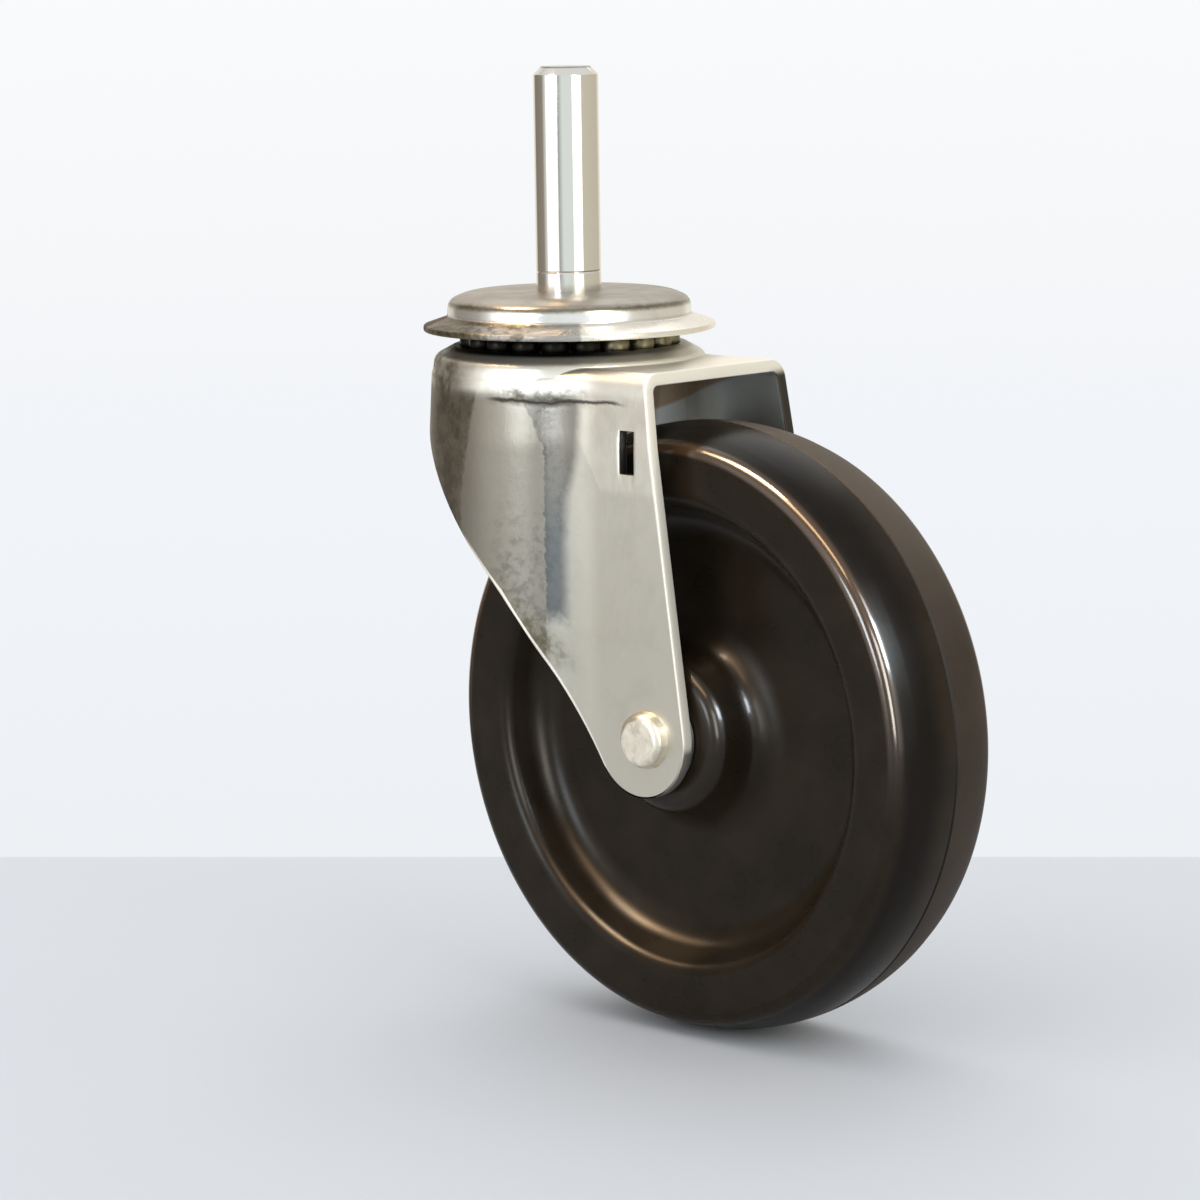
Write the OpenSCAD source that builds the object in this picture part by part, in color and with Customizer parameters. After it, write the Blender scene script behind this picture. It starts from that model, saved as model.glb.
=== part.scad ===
// Swivel stem castor: a plain round stem, a double row ball head, a pressed
// steel fork and a moulded wheel on a riveted axle.
// Millimetres, +Z up. The origin is on the stem's axis where the stem meets
// the top of the cap. The wheel trails towards +X and its axle lies along Y.

/* [Stem] */
// Diameter of the round stem
stem_d = 11; // [9.8:0.1:13]
// Length of the stem above the cap
stem_l = 37.5; // [25:0.5:60]
// Width of the bevel round the stem's tip
stem_bevel = 1.4; // [0.4:0.1:2]
// Height of the fine turned line above the cap
stem_line_z = 3.2; // [2:0.1:8]
// Depth of the fine turned line
stem_line_depth = 0.12; // [0.05:0.01:0.3]
// Diameter of the neck that passes through the cap and the fork
neck_d = 9; // [7.6:0.1:9.4]
// Diameter of the neck's lower end, which carries the lower race
tail_d = 7.2; // [5.6:0.1:7.2]
// Width of the peened end under the washer
peen_d = 11; // [9.5:0.1:12]
// Height of the peened end
peen_h = 2.4; // [1.5:0.1:3]

/* [Cap] */
// Diameter over the rim of the cap
cap_d = 49.4; // [46:0.1:54]
// Diameter of the domed middle of the cap
dome_d = 41.2; // [40.4:0.1:43]
// Height from the foot of the dome to its flat top
dome_h = 4.2; // [3.8:0.1:6]
// Outer radius of the dome's shoulder
dome_round = 3.6; // [2:0.1:3.7]
// Radius of the hollow at the dome's foot
foot_round = 0.7; // [0.3:0.1:1.2]
// Slope of the rim below level, in degrees
rim_slope = 15; // [10:1:30]
// Thickness of the cap's sheet
cap_t = 1.5; // [0.8:0.1:1.6]

/* [Ball head] */
// Diameter of the circle that the upper balls run on
upper_circle_d = 32.8; // [31.6:0.1:33.2]
// Diameter of an upper ball
upper_ball_d = 4.76; // [4.2:0.01:4.9]
// Depth of the upper balls' centres below the top of the cap
upper_ball_depth = 8.2; // [7.9:0.1:8.6]
// Diameter of the circle that the lower balls run on
lower_circle_d = 21.2; // [20.4:0.1:22]
// Diameter of a lower ball
lower_ball_d = 3.97; // [3.5:0.01:4.2]
// Running gap between a ball and its raceway
ball_gap = 0.1; // [0.05:0.01:0.15]
// Pitch of the balls in a row, in ball diameters
ball_pitch = 1.04; // [1.02:0.01:1.2]
// Thickness of the race rings
race_t = 2; // [1.6:0.1:2.4]
// Height of the lower race's seat below the lower balls' centres
race_seat_drop = 0.7; // [0.4:0.1:1]
// Diameter of the washer under the lower race
king_washer_d = 14.4; // [13:0.1:15]
// Thickness of the washer under the lower race
king_washer_t = 1.2; // [0.8:0.1:1.6]

/* [Fork] */
// Thickness of the fork's steel sheet
sheet_t = 2; // [1.6:0.1:2.4]
// Depth of the fork's top face below the top of the cap
fork_drop = 11.1; // [10.8:0.1:11.6]
// Diameter of the fork's round head
fork_head_d = 48; // [46.5:0.1:52]
// Gap between the neck and the hole in the fork
neck_gap = 2.1; // [1.5:0.1:3]
// Clear width between the legs
leg_gap = 31.2; // [30:0.1:34]
// Radius of the hollow sweep where the round head runs into the flat legs
sweep_r = 20; // [10:1:30]
// Outer radius of the bend round the top
bend_r = 3.2; // [2.8:0.1:4]
// Height over which the wall leans out below the bend
lean_h = 9; // [5:0.5:15]
// Distance that the wall leans out
lean = 0.5; // [0:0.1:1]
// Front edge of the top face, ahead of the stem's axis
front_x = 33.2; // [30:0.1:38]
// Radius of the legs' round ends
leg_end_r = 9.9; // [8:0.1:12]
// Distance from the middle of the leg's round end forward to the axle
axle_set = 1.5; // [0:0.1:3]
// Waist of the legs' rear edge, ahead of the stem's axis
waist_x = 5.6; // [0:0.1:12]
// Depth of the waist below the top of the cap
waist_depth = 48.2; // [44:0.1:54]
// Depth of the rear lip below the top of the cap
rear_depth = 15.8; // [15:0.1:20]
// Radius that softens the rear edge at the waist
waist_r = 60; // [20:1:90]
// Height of the raised ring that carries the upper raceway
ring_h = 2.1; // [1.8:0.1:2.4]
// Outer diameter of the raised ring's crest
ring_crest_d = 38.8; // [38.4:0.1:39.6]
// Depth that the lower groove is pressed into the sheet
groove_dip = 0.6; // [0.4:0.1:0.8]
// Width of the slot in the right leg
slot_w = 3.1; // [2:0.1:5]
// Height of the slot in the right leg
slot_h = 7; // [4:0.1:12]
// Middle of the slot, ahead of the stem's axis
slot_x = 29.6; // [26:0.1:31]
// Depth of the slot's middle below the top of the cap
slot_depth = 24; // [21:0.1:30]

/* [Wheel] */
// Diameter of the wheel
wheel_d = 101.6; // [92:0.2:108]
// Room between the top of the wheel and the underside of the fork
wheel_room = 6.9; // [4:0.1:12]
// Distance that the axle trails the stem's axis
trail = 33.3; // [30:0.1:36]
// Width of the wheel's rim
tread_w = 24; // [18:0.5:25]
// Radius of the crown across the tread
crown_r = 26.5; // [20:0.5:60]
// Radius of the rim's outer corners
rim_round = 2.5; // [1:0.1:3]
// Depth of the parting line round the tread
parting_depth = 0.3; // [0.1:0.05:0.5]
// Diameter of the dished side's edge
dish_d = 77.6; // [70:0.2:84]
// Distance that the dish's wall leans in towards the web
dish_lean = 2.2; // [0.5:0.1:4]
// Radius of the hollow between the web and the dish's wall
dish_foot_r = 5; // [2:0.5:8]
// Radius of the dish's edge
dish_edge_r = 0.7; // [0.3:0.1:1.5]
// Thickness of the web
web_t = 9; // [6:0.5:14]
// Diameter of the hub boss
hub_d = 27; // [22:0.5:32]
// Distance that the hub boss widens towards the web
hub_lean = 1.6; // [0.4:0.1:3]
// Radius of the hollow between the hub boss and the web
hub_foot_r = 7; // [3:0.5:9]
// Radius of the hub boss's edge
hub_edge_r = 1.6; // [0.5:0.1:2.5]

/* [Axle] */
// Diameter of the riveted axle
axle_d = 6.4; // [5:0.1:7]
// Diameter of the head that is formed on the axle's right end
peened_head_d = 9.6; // [8.6:0.1:12]
// Height of the formed head
peened_head_h = 2.2; // [1.2:0.1:3]
// Diameter of the axle's ready made head
made_head_d = 12; // [10:0.1:14]
// Height of the ready made head
made_head_h = 2.4; // [1.5:0.1:3]
// Outer diameter of the spacer tube between the legs
spacer_d = 9.5; // [8.6:0.1:10.5]
// Outer diameter of the bush in the hub
bush_d = 12.7; // [11.9:0.1:14]
// Outer diameter of a thrust washer
washer_d = 16; // [14:0.5:20]
// Thickness of a thrust washer
washer_t = 0.8; // [0.5:0.1:1.2]
// End play of the hub on each side
end_play = 0.3; // [0.2:0.05:0.5]
// Clearance round a part that slips or turns on another
slip = 0.05; // [0.03:0.01:0.08]
// Clearance left round a part that is pressed in
press = 0.03; // [0.01:0.01:0.05]

/* [Hidden] */
$fn = 96;
ARC_STEP = 7.5;
BEND_STEP = 15;
ROOM_SHARE = 0.49;

stem_r = stem_d / 2;
neck_r = neck_d / 2;
tail_r = tail_d / 2;
head_bore_r = neck_r + slip;
tail_bore_r = tail_r + slip;

dome_r = dome_d / 2;
cap_r = cap_d / 2;
dome_inner_r = dome_r - cap_t;

upper_r = upper_circle_d / 2;
upper_groove_r = upper_ball_d / 2 + ball_gap;
upper_count = floor(180 / asin(upper_ball_d * ball_pitch / upper_circle_d));
fork_under = -fork_drop - sheet_t;
lower_r = lower_circle_d / 2;
lower_groove_r = lower_ball_d / 2 + ball_gap;
lower_count = floor(180 / asin(lower_ball_d * ball_pitch / lower_circle_d));
lower_ball_z = fork_under + groove_dip - lower_groove_r;
race_seat_z = lower_ball_z - race_seat_drop;
race_under = race_seat_z - race_t;
peen_z = race_under - king_washer_t;

head_r = fork_head_d / 2;
fork_hole_r = neck_r + neck_gap;
leg_in = leg_gap / 2;
leg_out = leg_in + sheet_t;
sweep_y = leg_out + sweep_r;
sweep_x = sqrt(pow(head_r + sweep_r, 2) - pow(sweep_y, 2));
sweep_angle = atan2(sweep_y, sweep_x);
ring_crest_r = ring_crest_d / 2;
crest_z = -fork_drop + ring_h;

wheel_r = wheel_d / 2;
tread_half = tread_w / 2;
hub_half = leg_in - washer_t - end_play;
hub_bore_r = bush_d / 2 + press;
axle_z = fork_under - wheel_room - wheel_r;
leg_end = [trail - axle_set, axle_z];

upper_names = [for (i = [1:upper_count]) str("upper_ball_", i)];
lower_names = [for (i = [1:lower_count]) str("lower_ball_", i)];

// Points along an arc about centre c, from angle a0 to angle a1
function arc(c, r, a0, a1) =
    let (n = max(1, ceil(abs(a1 - a0) / ARC_STEP)))
    [for (i = [0:n]) c + r * [cos(a0 + (a1 - a0) * i / n), sin(a0 + (a1 - a0) * i / n)]];

function on_circle(c, r, a) = c + r * [cos(a), sin(a)];

function unit(v) = v / norm(v);

// The arc that rounds corner b between its neighbours a and c; its radius is
// held to what the two edges have room for
function corner(a, b, c, r) =
    let (
        u = unit(a - b),
        v = unit(c - b),
        half = acos(max(-1, min(1, u * v))) / 2,
        room = ROOM_SHARE * min(norm(a - b), norm(c - b)),
        reach = min(r / tan(half), room),
        radius = reach * tan(half),
        centre = b + unit(u + v) * radius / sin(half),
        from = b + u * reach - centre,
        to = b + v * reach - centre,
        a0 = atan2(from[1], from[0]),
        turn = atan2(to[1], to[0]) - a0,
        sweep = turn > 180 ? turn - 360 : (turn < -180 ? turn + 360 : turn)
    )
    arc(centre, radius, a0, a0 + sweep);

function flat2(p) = [p[0], p[1]];

function reversed(list) = [for (i = [len(list) - 1:-1:0]) list[i]];

// An outline of [x, y, radius] corners with each corner rounded to its radius
function rounded(corners) =
    let (n = len(corners))
    [
        for (i = [0:n - 1])
            let (p = corners[i])
            for (q = p[2] > 0
                ? corner(flat2(corners[(i + n - 1) % n]), flat2(p), flat2(corners[(i + 1) % n]), p[2])
                : [flat2(p)])
                q
    ];

// Direction from a circle's centre to where a line from p touches it, on one
// side of the circle or the other (side is 1 or -1)
function touch_angle(p, c, r, side) =
    atan2(p[1] - c[1], p[0] - c[0]) + side * acos(r / norm(p - c));

module turned(outline) {
    rotate_extrude() polygon(outline);
}

// A turned shape about the axle, its outline drawn as [radius, distance along +Y]
module on_axle(outline) {
    translate([trail, 0, axle_z]) rotate([-90, 0, 0]) turned(outline);
}

module sleeve(bore_r, outer_r, from, to) {
    on_axle([[bore_r, from], [outer_r, from], [outer_r, to], [bore_r, to]]);
}

module stem() {
    line_w = 2 * stem_line_depth;
    peen_round = 0.8 * peen_h;
    peen_r = peen_d / 2;
    color("gainsboro")
        turned(concat(
            [[0, stem_l]],
            [[stem_r - stem_bevel, stem_l], [stem_r, stem_l - stem_bevel]],
            [[stem_r, stem_line_z + line_w], [stem_r - stem_line_depth, stem_line_z]],
            [[stem_r, stem_line_z - line_w], [stem_r, 0], [neck_r, 0]],
            [[neck_r, race_seat_z], [tail_r, race_seat_z], [tail_r, peen_z], [peen_r, peen_z]],
            arc([peen_r - peen_round, peen_z - peen_h + peen_round], peen_round, 0, -90),
            [[0, peen_z - peen_h]]
        ));
}

// Pressed cap: flat top, round shoulder, and a rim that slopes out and down
module top_cap() {
    edge_round = 0.42 * cap_t;
    tip_z = -dome_h - (cap_r - dome_r) * tan(rim_slope);
    rim_depth = cap_t / cos(rim_slope);
    under_foot_z = -dome_h - rim_depth + cap_t * tan(rim_slope);
    color("silver")
        turned(rounded([
            [head_bore_r, 0, 0],
            [dome_r, 0, dome_round],
            [dome_r, -dome_h, foot_round],
            [cap_r, tip_z, edge_round],
            [cap_r, tip_z - rim_depth, edge_round],
            [dome_inner_r, under_foot_z, foot_round + cap_t],
            [dome_inner_r, -cap_t, dome_round - cap_t],
            [head_bore_r, -cap_t, 0]
        ]));
}

// Hardened ring inside the cap, with the upper balls' outer raceway turned in it
module upper_race() {
    groove = [upper_r, -upper_ball_depth];
    lip_angle = 30;
    inner_angle = 142;
    lip_width = 0.9;
    throat_lean = 1.1;
    outer_r = dome_inner_r - 2 * slip;
    lip_z = on_circle(groove, upper_groove_r, lip_angle)[1];
    inner_lip = on_circle(groove, upper_groove_r, inner_angle);
    plate_under = -cap_t - race_t;
    color("dimgray")
        turned(concat(
            [[head_bore_r, -cap_t]],
            corner([head_bore_r, -cap_t], [outer_r, -cap_t], [outer_r, lip_z], dome_round),
            [[outer_r, lip_z]],
            arc(groove, upper_groove_r, lip_angle, inner_angle),
            [inner_lip - [lip_width, 0], [inner_lip[0] - lip_width - throat_lean, plate_under]],
            [[head_bore_r, plate_under]]
        ));
}

// Cup under the fork that carries the lower balls
module lower_race() {
    groove = [lower_r, lower_ball_z];
    lip_angle = 20;
    lip_width = 1;
    lip_round = 0.4;
    seat_r = lower_r - lower_groove_r - 0.3;
    outer_r = lower_r + lower_groove_r + lip_width;
    lip_z = on_circle(groove, lower_groove_r, -lip_angle)[1];
    low_z = lower_ball_z - lower_groove_r - race_t;
    color("dimgray")
        turned(concat(
            [[tail_bore_r, race_seat_z], [seat_r, race_seat_z]],
            arc(groove, lower_groove_r, 180 + lip_angle, 360 - lip_angle),
            corner([lower_r, lip_z], [outer_r, lip_z], [outer_r, low_z], lip_round),
            corner([outer_r, lip_z], [outer_r, low_z], [lower_r, low_z], race_t),
            [[lower_r - lower_groove_r / 2, low_z]],
            [[king_washer_d / 2 + lip_round, race_under], [tail_bore_r, race_under]]
        ));
}

module king_washer() {
    rim = king_washer_d / 2;
    color("silver")
        turned(rounded([
            [tail_bore_r, race_under, 0],
            [rim, race_under, 0],
            [rim, peen_z, king_washer_t / 3],
            [tail_bore_r, peen_z, 0]
        ]));
}

// The fork's plan outline, taken in by inset: two straight legs, a hollow
// sweep on each side and the round head behind them
function plan(inset, far_x) =
    let (
        side = concat(
            [[far_x, -(leg_out - inset)]],
            arc([sweep_x, -sweep_y], sweep_r + inset, 90, 180 - sweep_angle)
        ),
        back = arc([0, 0], head_r - inset, -sweep_angle - ARC_STEP, -360 + sweep_angle + ARC_STEP),
        mirrored = [for (p = side) [p[0], -p[1]]]
    )
    concat(side, back, reversed(mirrored));

// The plan outline stacked along the top bend and down the wall
function hood_loops(inset, top_z, round_r, far_x, low_z) =
    let (
        levels = concat(
            [for (a = [0:BEND_STEP:90])
                [top_z - round_r * (1 - cos(a)), inset + lean + round_r * (1 - sin(a))]],
            [[top_z - round_r - lean_h, inset], [low_z, inset]]
        )
    )
    [for (level = levels) [for (p = plan(level[1], far_x)) [p[0], p[1], level[0]]]];

// Strips that fill a loop from side to side, so that every face is convex
function strips(start, count) = [
    for (j = [0:ceil(count / 2) - 2])
        let (a = start + j, c = start + count - 2 - j)
        a + 1 == c ? [a, a + 1, c + 1] : [a, a + 1, c, c + 1]
];

// A hood of even wall: its loops run down the outside and back up the inside
module hood(far_x, low_z) {
    outside = hood_loops(0, -fork_drop, bend_r, far_x + sheet_t, low_z);
    inside = hood_loops(sheet_t, fork_under, bend_r - sheet_t, far_x, low_z);
    loops = concat(outside, reversed(inside));
    count = len(loops[0]);
    sides = [
        for (i = [0:len(loops) - 2])
            for (j = [0:count - 1])
                let (k = (j + 1) % count)
                [i * count + j, (i + 1) * count + j, (i + 1) * count + k, i * count + k]
    ];
    ceiling = [for (face = strips((len(loops) - 1) * count, count)) reversed(face)];
    polyhedron(
        points = [for (loop = loops) for (p = loop) p],
        faces = concat(strips(0, count), sides, ceiling),
        convexity = 6
    );
}

// Side view of the fork: sloping front edge, round leg end, and a rear edge
// that bends at the waist and runs back to the rear lip
function fork_side() =
    let (
        front = [front_x, -fork_drop],
        waist = [waist_x, -waist_depth],
        lip = [-head_r, -rear_depth],
        front_touch = touch_angle(front, leg_end, leg_end_r, -1),
        rear_touch = touch_angle(waist, leg_end, leg_end_r, 1),
        past = 2 * sheet_t,
        front_slope = unit(front - on_circle(leg_end, leg_end_r, front_touch)),
        front_top = front + front_slope * past,
        rear_slope = unit(lip - waist),
        rear_top = lip + rear_slope * past
    )
    concat(
        [front_top],
        arc(leg_end, leg_end_r, front_touch, rear_touch - 360),
        corner(on_circle(leg_end, leg_end_r, rear_touch), waist, lip, waist_r),
        [rear_top, [rear_top[0], front_top[1]]]
    );

module across(width) {
    rotate([90, 0, 0]) linear_extrude(width, center = true) children();
}

// Raised ring round the stem, pressed up out of the fork's top
module raceway_ring() {
    crest_round = 0.6;
    shoulder_round = 1.4;
    foot_depth = 0.8 * sheet_t;
    foot_angle = acos(1 - foot_depth / bend_r);
    foot_r = head_r - lean - bend_r * (1 - sin(foot_angle)) - slip;
    foot_z = -fork_drop - foot_depth;
    shoulder = [foot_r - 0.4, crest_z - 0.9 * ring_h];
    turned(rounded([
        [fork_hole_r, foot_z, 0],
        [foot_r, foot_z, 0],
        [shoulder[0], shoulder[1], shoulder_round],
        [ring_crest_r + crest_round / 2, crest_z, crest_round],
        [fork_hole_r, crest_z, 0]
    ]));
}

// What the press takes out of the head: the raceway, the sunk middle, the
// lower groove, the hollow behind the ring and the hole for the neck
module raceway_cut() {
    groove = [upper_r, -upper_ball_depth];
    lip_angle = 31;
    lip_width = 0.7;
    throat_lean = 0.9;
    middle_z = -fork_drop + 0.1 * sheet_t;
    crest_angle = asin((crest_z + upper_ball_depth) / upper_groove_r);
    outer_lip = on_circle(groove, upper_groove_r, crest_angle);
    inner_lip = on_circle(groove, upper_groove_r, lip_angle - 180);
    above = crest_z + sheet_t;
    turned(concat(
        [[0, above], [outer_lip[0], above]],
        arc(groove, upper_groove_r, crest_angle, lip_angle - 180),
        [inner_lip - [lip_width, 0], [inner_lip[0] - lip_width - throat_lean, middle_z], [0, middle_z]]
    ));
    translate([0, 0, lower_ball_z]) rotate_extrude() translate([lower_r, 0]) circle(lower_groove_r);
    hollow_half = 0.65;
    hollow_lean = 0.5;
    hollow_r = ring_crest_r - lean / 2;
    hollow_top = crest_z - 1.1 * sheet_t;
    below = fork_under - sheet_t / 2;
    turned(rounded([
        [hollow_r - hollow_half - hollow_lean, below, 0],
        [hollow_r - hollow_half, hollow_top, hollow_lean],
        [hollow_r + hollow_half, hollow_top, hollow_lean],
        [hollow_r + hollow_half + hollow_lean, below, 0]
    ]));
    translate([0, 0, below]) cylinder(r = fork_hole_r, h = above - below);
}

// Pressed fork: a hood of one sheet whose round head runs into two flat legs
module yoke() {
    far = front_x + leg_end_r + 2 * sheet_t;
    low = axle_z - 2 * leg_end_r;
    through = 3 * leg_gap;
    color("silver")
        difference() {
            union() {
                intersection() {
                    hood(far, low);
                    across(through) polygon(fork_side());
                }
                raceway_ring();
            }
            raceway_cut();
            translate([slot_x, -leg_out, -slot_depth])
                cube([slot_w, 3 * sheet_t, slot_h], center = true);
            translate([trail, 0, axle_z]) rotate([90, 0, 0])
                cylinder(d = axle_d + 2 * slip, h = through, center = true);
        }
}

// Half of the wheel's section: hub boss, dished side, rim corner and crown
function wheel_half() =
    let (
        crown_c = wheel_r - crown_r,
        rim_edge_r = crown_c + sqrt(pow(crown_r, 2) - pow(tread_half, 2)),
        crown_end = asin((tread_half - 1.3 * rim_round) / crown_r),
        crown_start = asin(parting_depth / crown_r)
    )
    concat(
        [[hub_bore_r, hub_half, 0]],
        [[(hub_d - hub_lean) / 2, hub_half, hub_edge_r]],
        [[(hub_d + hub_lean) / 2, web_t / 2, hub_foot_r]],
        [[dish_d / 2 - dish_lean, web_t / 2, dish_foot_r]],
        [[dish_d / 2, tread_half, dish_edge_r]],
        [[rim_edge_r, tread_half, rim_round]],
        [for (p = arc([crown_c, 0], crown_r, crown_end, crown_start)) [p[0], p[1], 0]],
        [[wheel_r - parting_depth, 0, 0]]
    );

// Moulded wheel: crowned tread, dished sides and a hub boss
module wheel() {
    half = wheel_half();
    mirrored = [for (i = [0:len(half) - 2]) [half[i][0], -half[i][1], half[i][2]]];
    color([0.13, 0.1, 0.08]) on_axle(rounded(concat(half, reversed(mirrored))));
}

module hub_bush() {
    color("gray") sleeve(spacer_d / 2 + slip, bush_d / 2, -hub_half, hub_half);
}

module spacer_tube() {
    color("gray") sleeve(axle_d / 2 + slip, spacer_d / 2, -leg_in, leg_in);
}

// Axle: a ready made head on the left, a head formed over the right leg
module axle_rivet() {
    axle_r = axle_d / 2;
    formed_r = peened_head_d / 2;
    made_r = made_head_d / 2;
    crown_share = 0.9;
    formed_end = -leg_out - peened_head_h;
    made_end = leg_out + made_head_h;
    formed_top = [crown_share * formed_r, formed_end];
    made_top = [crown_share * made_r, made_end];
    color("wheat")
        on_axle(concat(
            [[0, formed_end]],
            corner([0, formed_end], formed_top, [formed_r, -leg_out], 0.7 * peened_head_h),
            [[formed_r, -leg_out], [axle_r, -leg_out], [axle_r, leg_out], [made_r, leg_out]],
            corner([made_r, leg_out], made_top, [0, made_end], 0.8 * made_head_h),
            [[0, made_end]]
        ));
}

module thrust_washer(side) {
    color("silver")
        sleeve(spacer_d / 2 + slip, washer_d / 2, side * leg_in, side * (leg_in - washer_t));
}

module ball_on(circle_r, z, diameter, turn) {
    color("gold")
        rotate([0, 0, turn]) translate([circle_r, 0, z]) sphere(d = diameter, $fn = 32);
}

stem();
top_cap();
upper_race();
lower_race();
king_washer();
yoke();
wheel();
hub_bush();
axle_rivet();
spacer_tube();
thrust_washer(1);  // left_washer
thrust_washer(-1);  // right_washer
for (i = [1:upper_count])
    ball_on(upper_r, -upper_ball_depth, upper_ball_d, 360 * i / upper_count);
for (i = [1:lower_count])
    ball_on(lower_r, lower_ball_z, lower_ball_d, 360 * i / lower_count);
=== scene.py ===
"""Looks of the stem castor: a chromed stem, a pressed ball head cap, two rows
of balls, a pressed steel fork, a moulded wheel and a riveted axle, on a pale
studio floor.  It is laid out as an add-on and run as a script."""

import math
from functools import cached_property

import bmesh
import bpy
import numpy as np
from bpy.props import FloatProperty, FloatVectorProperty, PointerProperty
from mathutils import Matrix, Vector


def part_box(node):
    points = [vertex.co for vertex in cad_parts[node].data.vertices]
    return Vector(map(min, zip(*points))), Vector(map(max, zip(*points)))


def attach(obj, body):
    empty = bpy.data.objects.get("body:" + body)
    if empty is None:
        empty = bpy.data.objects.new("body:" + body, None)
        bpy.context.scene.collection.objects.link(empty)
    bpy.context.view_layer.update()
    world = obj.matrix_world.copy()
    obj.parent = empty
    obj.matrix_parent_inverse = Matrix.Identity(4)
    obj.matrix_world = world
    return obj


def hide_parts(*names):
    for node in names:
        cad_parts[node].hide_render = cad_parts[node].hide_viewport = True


bl_info = {
    "name": "Stem castor",
    "version": (1, 0, 0),
    "blender": (4, 5, 0),
    "location": "3D View > Sidebar > Castor",
    "description": "Dresses a swivel stem castor and sets it on a studio floor",
    "category": "Object",
}

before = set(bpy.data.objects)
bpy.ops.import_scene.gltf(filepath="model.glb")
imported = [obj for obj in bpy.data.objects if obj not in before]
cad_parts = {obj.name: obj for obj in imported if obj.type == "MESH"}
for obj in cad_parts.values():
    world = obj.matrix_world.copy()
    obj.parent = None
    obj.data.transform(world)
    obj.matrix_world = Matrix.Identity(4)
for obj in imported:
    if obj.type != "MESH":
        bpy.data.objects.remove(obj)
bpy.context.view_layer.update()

MM = 0.001
IMAGE_PX = 1200
SENSOR_MM = 36.0
LAMP_AWAY = 1.2
TURN_SEGMENTS = 192
SMOOTH_ANGLE = math.radians(32)
WELD_MM = 1e-4

WHEEL_LOW, WHEEL_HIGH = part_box("wheel")
WHEEL_D = (WHEEL_HIGH.z - WHEEL_LOW.z) / MM
AXLE_X = (WHEEL_LOW.x + WHEEL_HIGH.x) / 2 / MM
AXLE_Z = (WHEEL_LOW.z + WHEEL_HIGH.z) / 2 / MM
FLOOR_Z = WHEEL_LOW.z / MM

# The ball rows' circle radius and ball diameter, and the upper row's height.
UPPER_ROW_R, UPPER_BALL_D, UPPER_ROW_Z = 16.4, 4.76, -8.2
LOWER_ROW_R, LOWER_BALL_D = 10.6, 3.97
UPPER_BALLS = sorted(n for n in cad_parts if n.startswith("upper_ball_"))
LOWER_BALLS = sorted(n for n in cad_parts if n.startswith("lower_ball_"))


def length(name, size, description):
    """A length property whose default is given in millimetres."""
    settings = {"default": size * MM, "min": 0.0, "unit": "LENGTH", "precision": 4}
    return FloatProperty(name=name, description=description, **settings)


def colour(name, value, description):
    """A colour property, as linear red, green and blue."""
    settings = {"default": value, "min": 0.0, "max": 1.0, "size": 3, "subtype": "COLOR"}
    return FloatVectorProperty(name=name, description=description, **settings)


class CastorSizes(bpy.types.PropertyGroup):
    """Sizes that the castor's smooth pieces are worked out from."""

    stem_d: length("Stem diameter", 11.0, "Diameter of the round stem")
    stem_l: length("Stem length", 37.5, "Length of the stem above the cap")
    stem_bevel: length("Stem bevel", 1.4, "Width of the bevel round the tip")
    cap_d: length("Cap diameter", 49.4, "Diameter over the rim of the cap")
    dome_d: length("Dome diameter", 41.2, "Diameter of the cap's domed middle")
    cap_t: length("Cap sheet", 1.5, "Thickness of the cap's sheet")
    sheet_t: length("Fork sheet", 2.0, "Thickness of the fork's steel sheet")
    head_d: length("Fork head", 48.0, "Diameter of the fork's round head")
    leg_gap: length("Leg gap", 31.2, "Clear width between the fork's legs")
    bend_r: length("Fork bend", 3.2, "Outer radius of the bend round the top")
    wheel_d: length("Wheel diameter", WHEEL_D, "Diameter over the tread's crown")
    tread_w: length("Tread width", 24.0, "Width of the wheel's rim")
    dish_d: length("Dish diameter", 77.6, "Diameter of the dished side's edge")
    hub_d: length("Hub diameter", 27.0, "Diameter of the hub boss")


class CastorColours(bpy.types.PropertyGroup):
    """Colours of the castor's finishes and of the studio."""

    stem: colour("Stem", (0.83, 0.82, 0.78), "Polished plating of the stem")
    cap: colour("Cap", (0.78, 0.75, 0.68), "Satin plating of the cap")
    fork: colour("Fork", (0.70, 0.675, 0.60), "Satin zinc on the fork")
    # Besides stains and tarnish, this colour paints shade on the stem's foot and in the
    # cap's dome foot.
    stain_and_shade: colour("Stain", (0.12, 0.10, 0.06), "Olive tarnish on the metal")
    rust: colour("Rust", (0.10, 0.04, 0.012), "Rust on the cap's left rim")
    rivet: colour("Rivet", (0.93, 0.86, 0.72), "Bright hammered rivet head")
    rubber: colour("Wheel", (0.0165, 0.0112, 0.0062), "Dark moulded wheel")
    # This colour also stands in for light on the far half tread.
    dust_and_light: colour("Dust", (0.048, 0.034, 0.024), "Dust on the far half tread")
    floor: colour("Floor", (0.785, 0.825, 0.892), "Pale studio floor")


# Outlines


def unit(vectors):
    """Vectors of length 1 along the given ones."""
    return vectors / np.linalg.norm(vectors, axis=-1, keepdims=True)


def arc(centre, radius, start, end, step=5.0):
    """Points centre + radius (cos a, sin a) as a runs from start to end in
    degrees."""
    count = max(2, math.ceil(abs(end - start) / step) + 1)
    angle = np.radians(np.linspace(start, end, count))
    return np.array(centre) + radius * np.stack([np.cos(angle), np.sin(angle)], axis=1)


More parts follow.
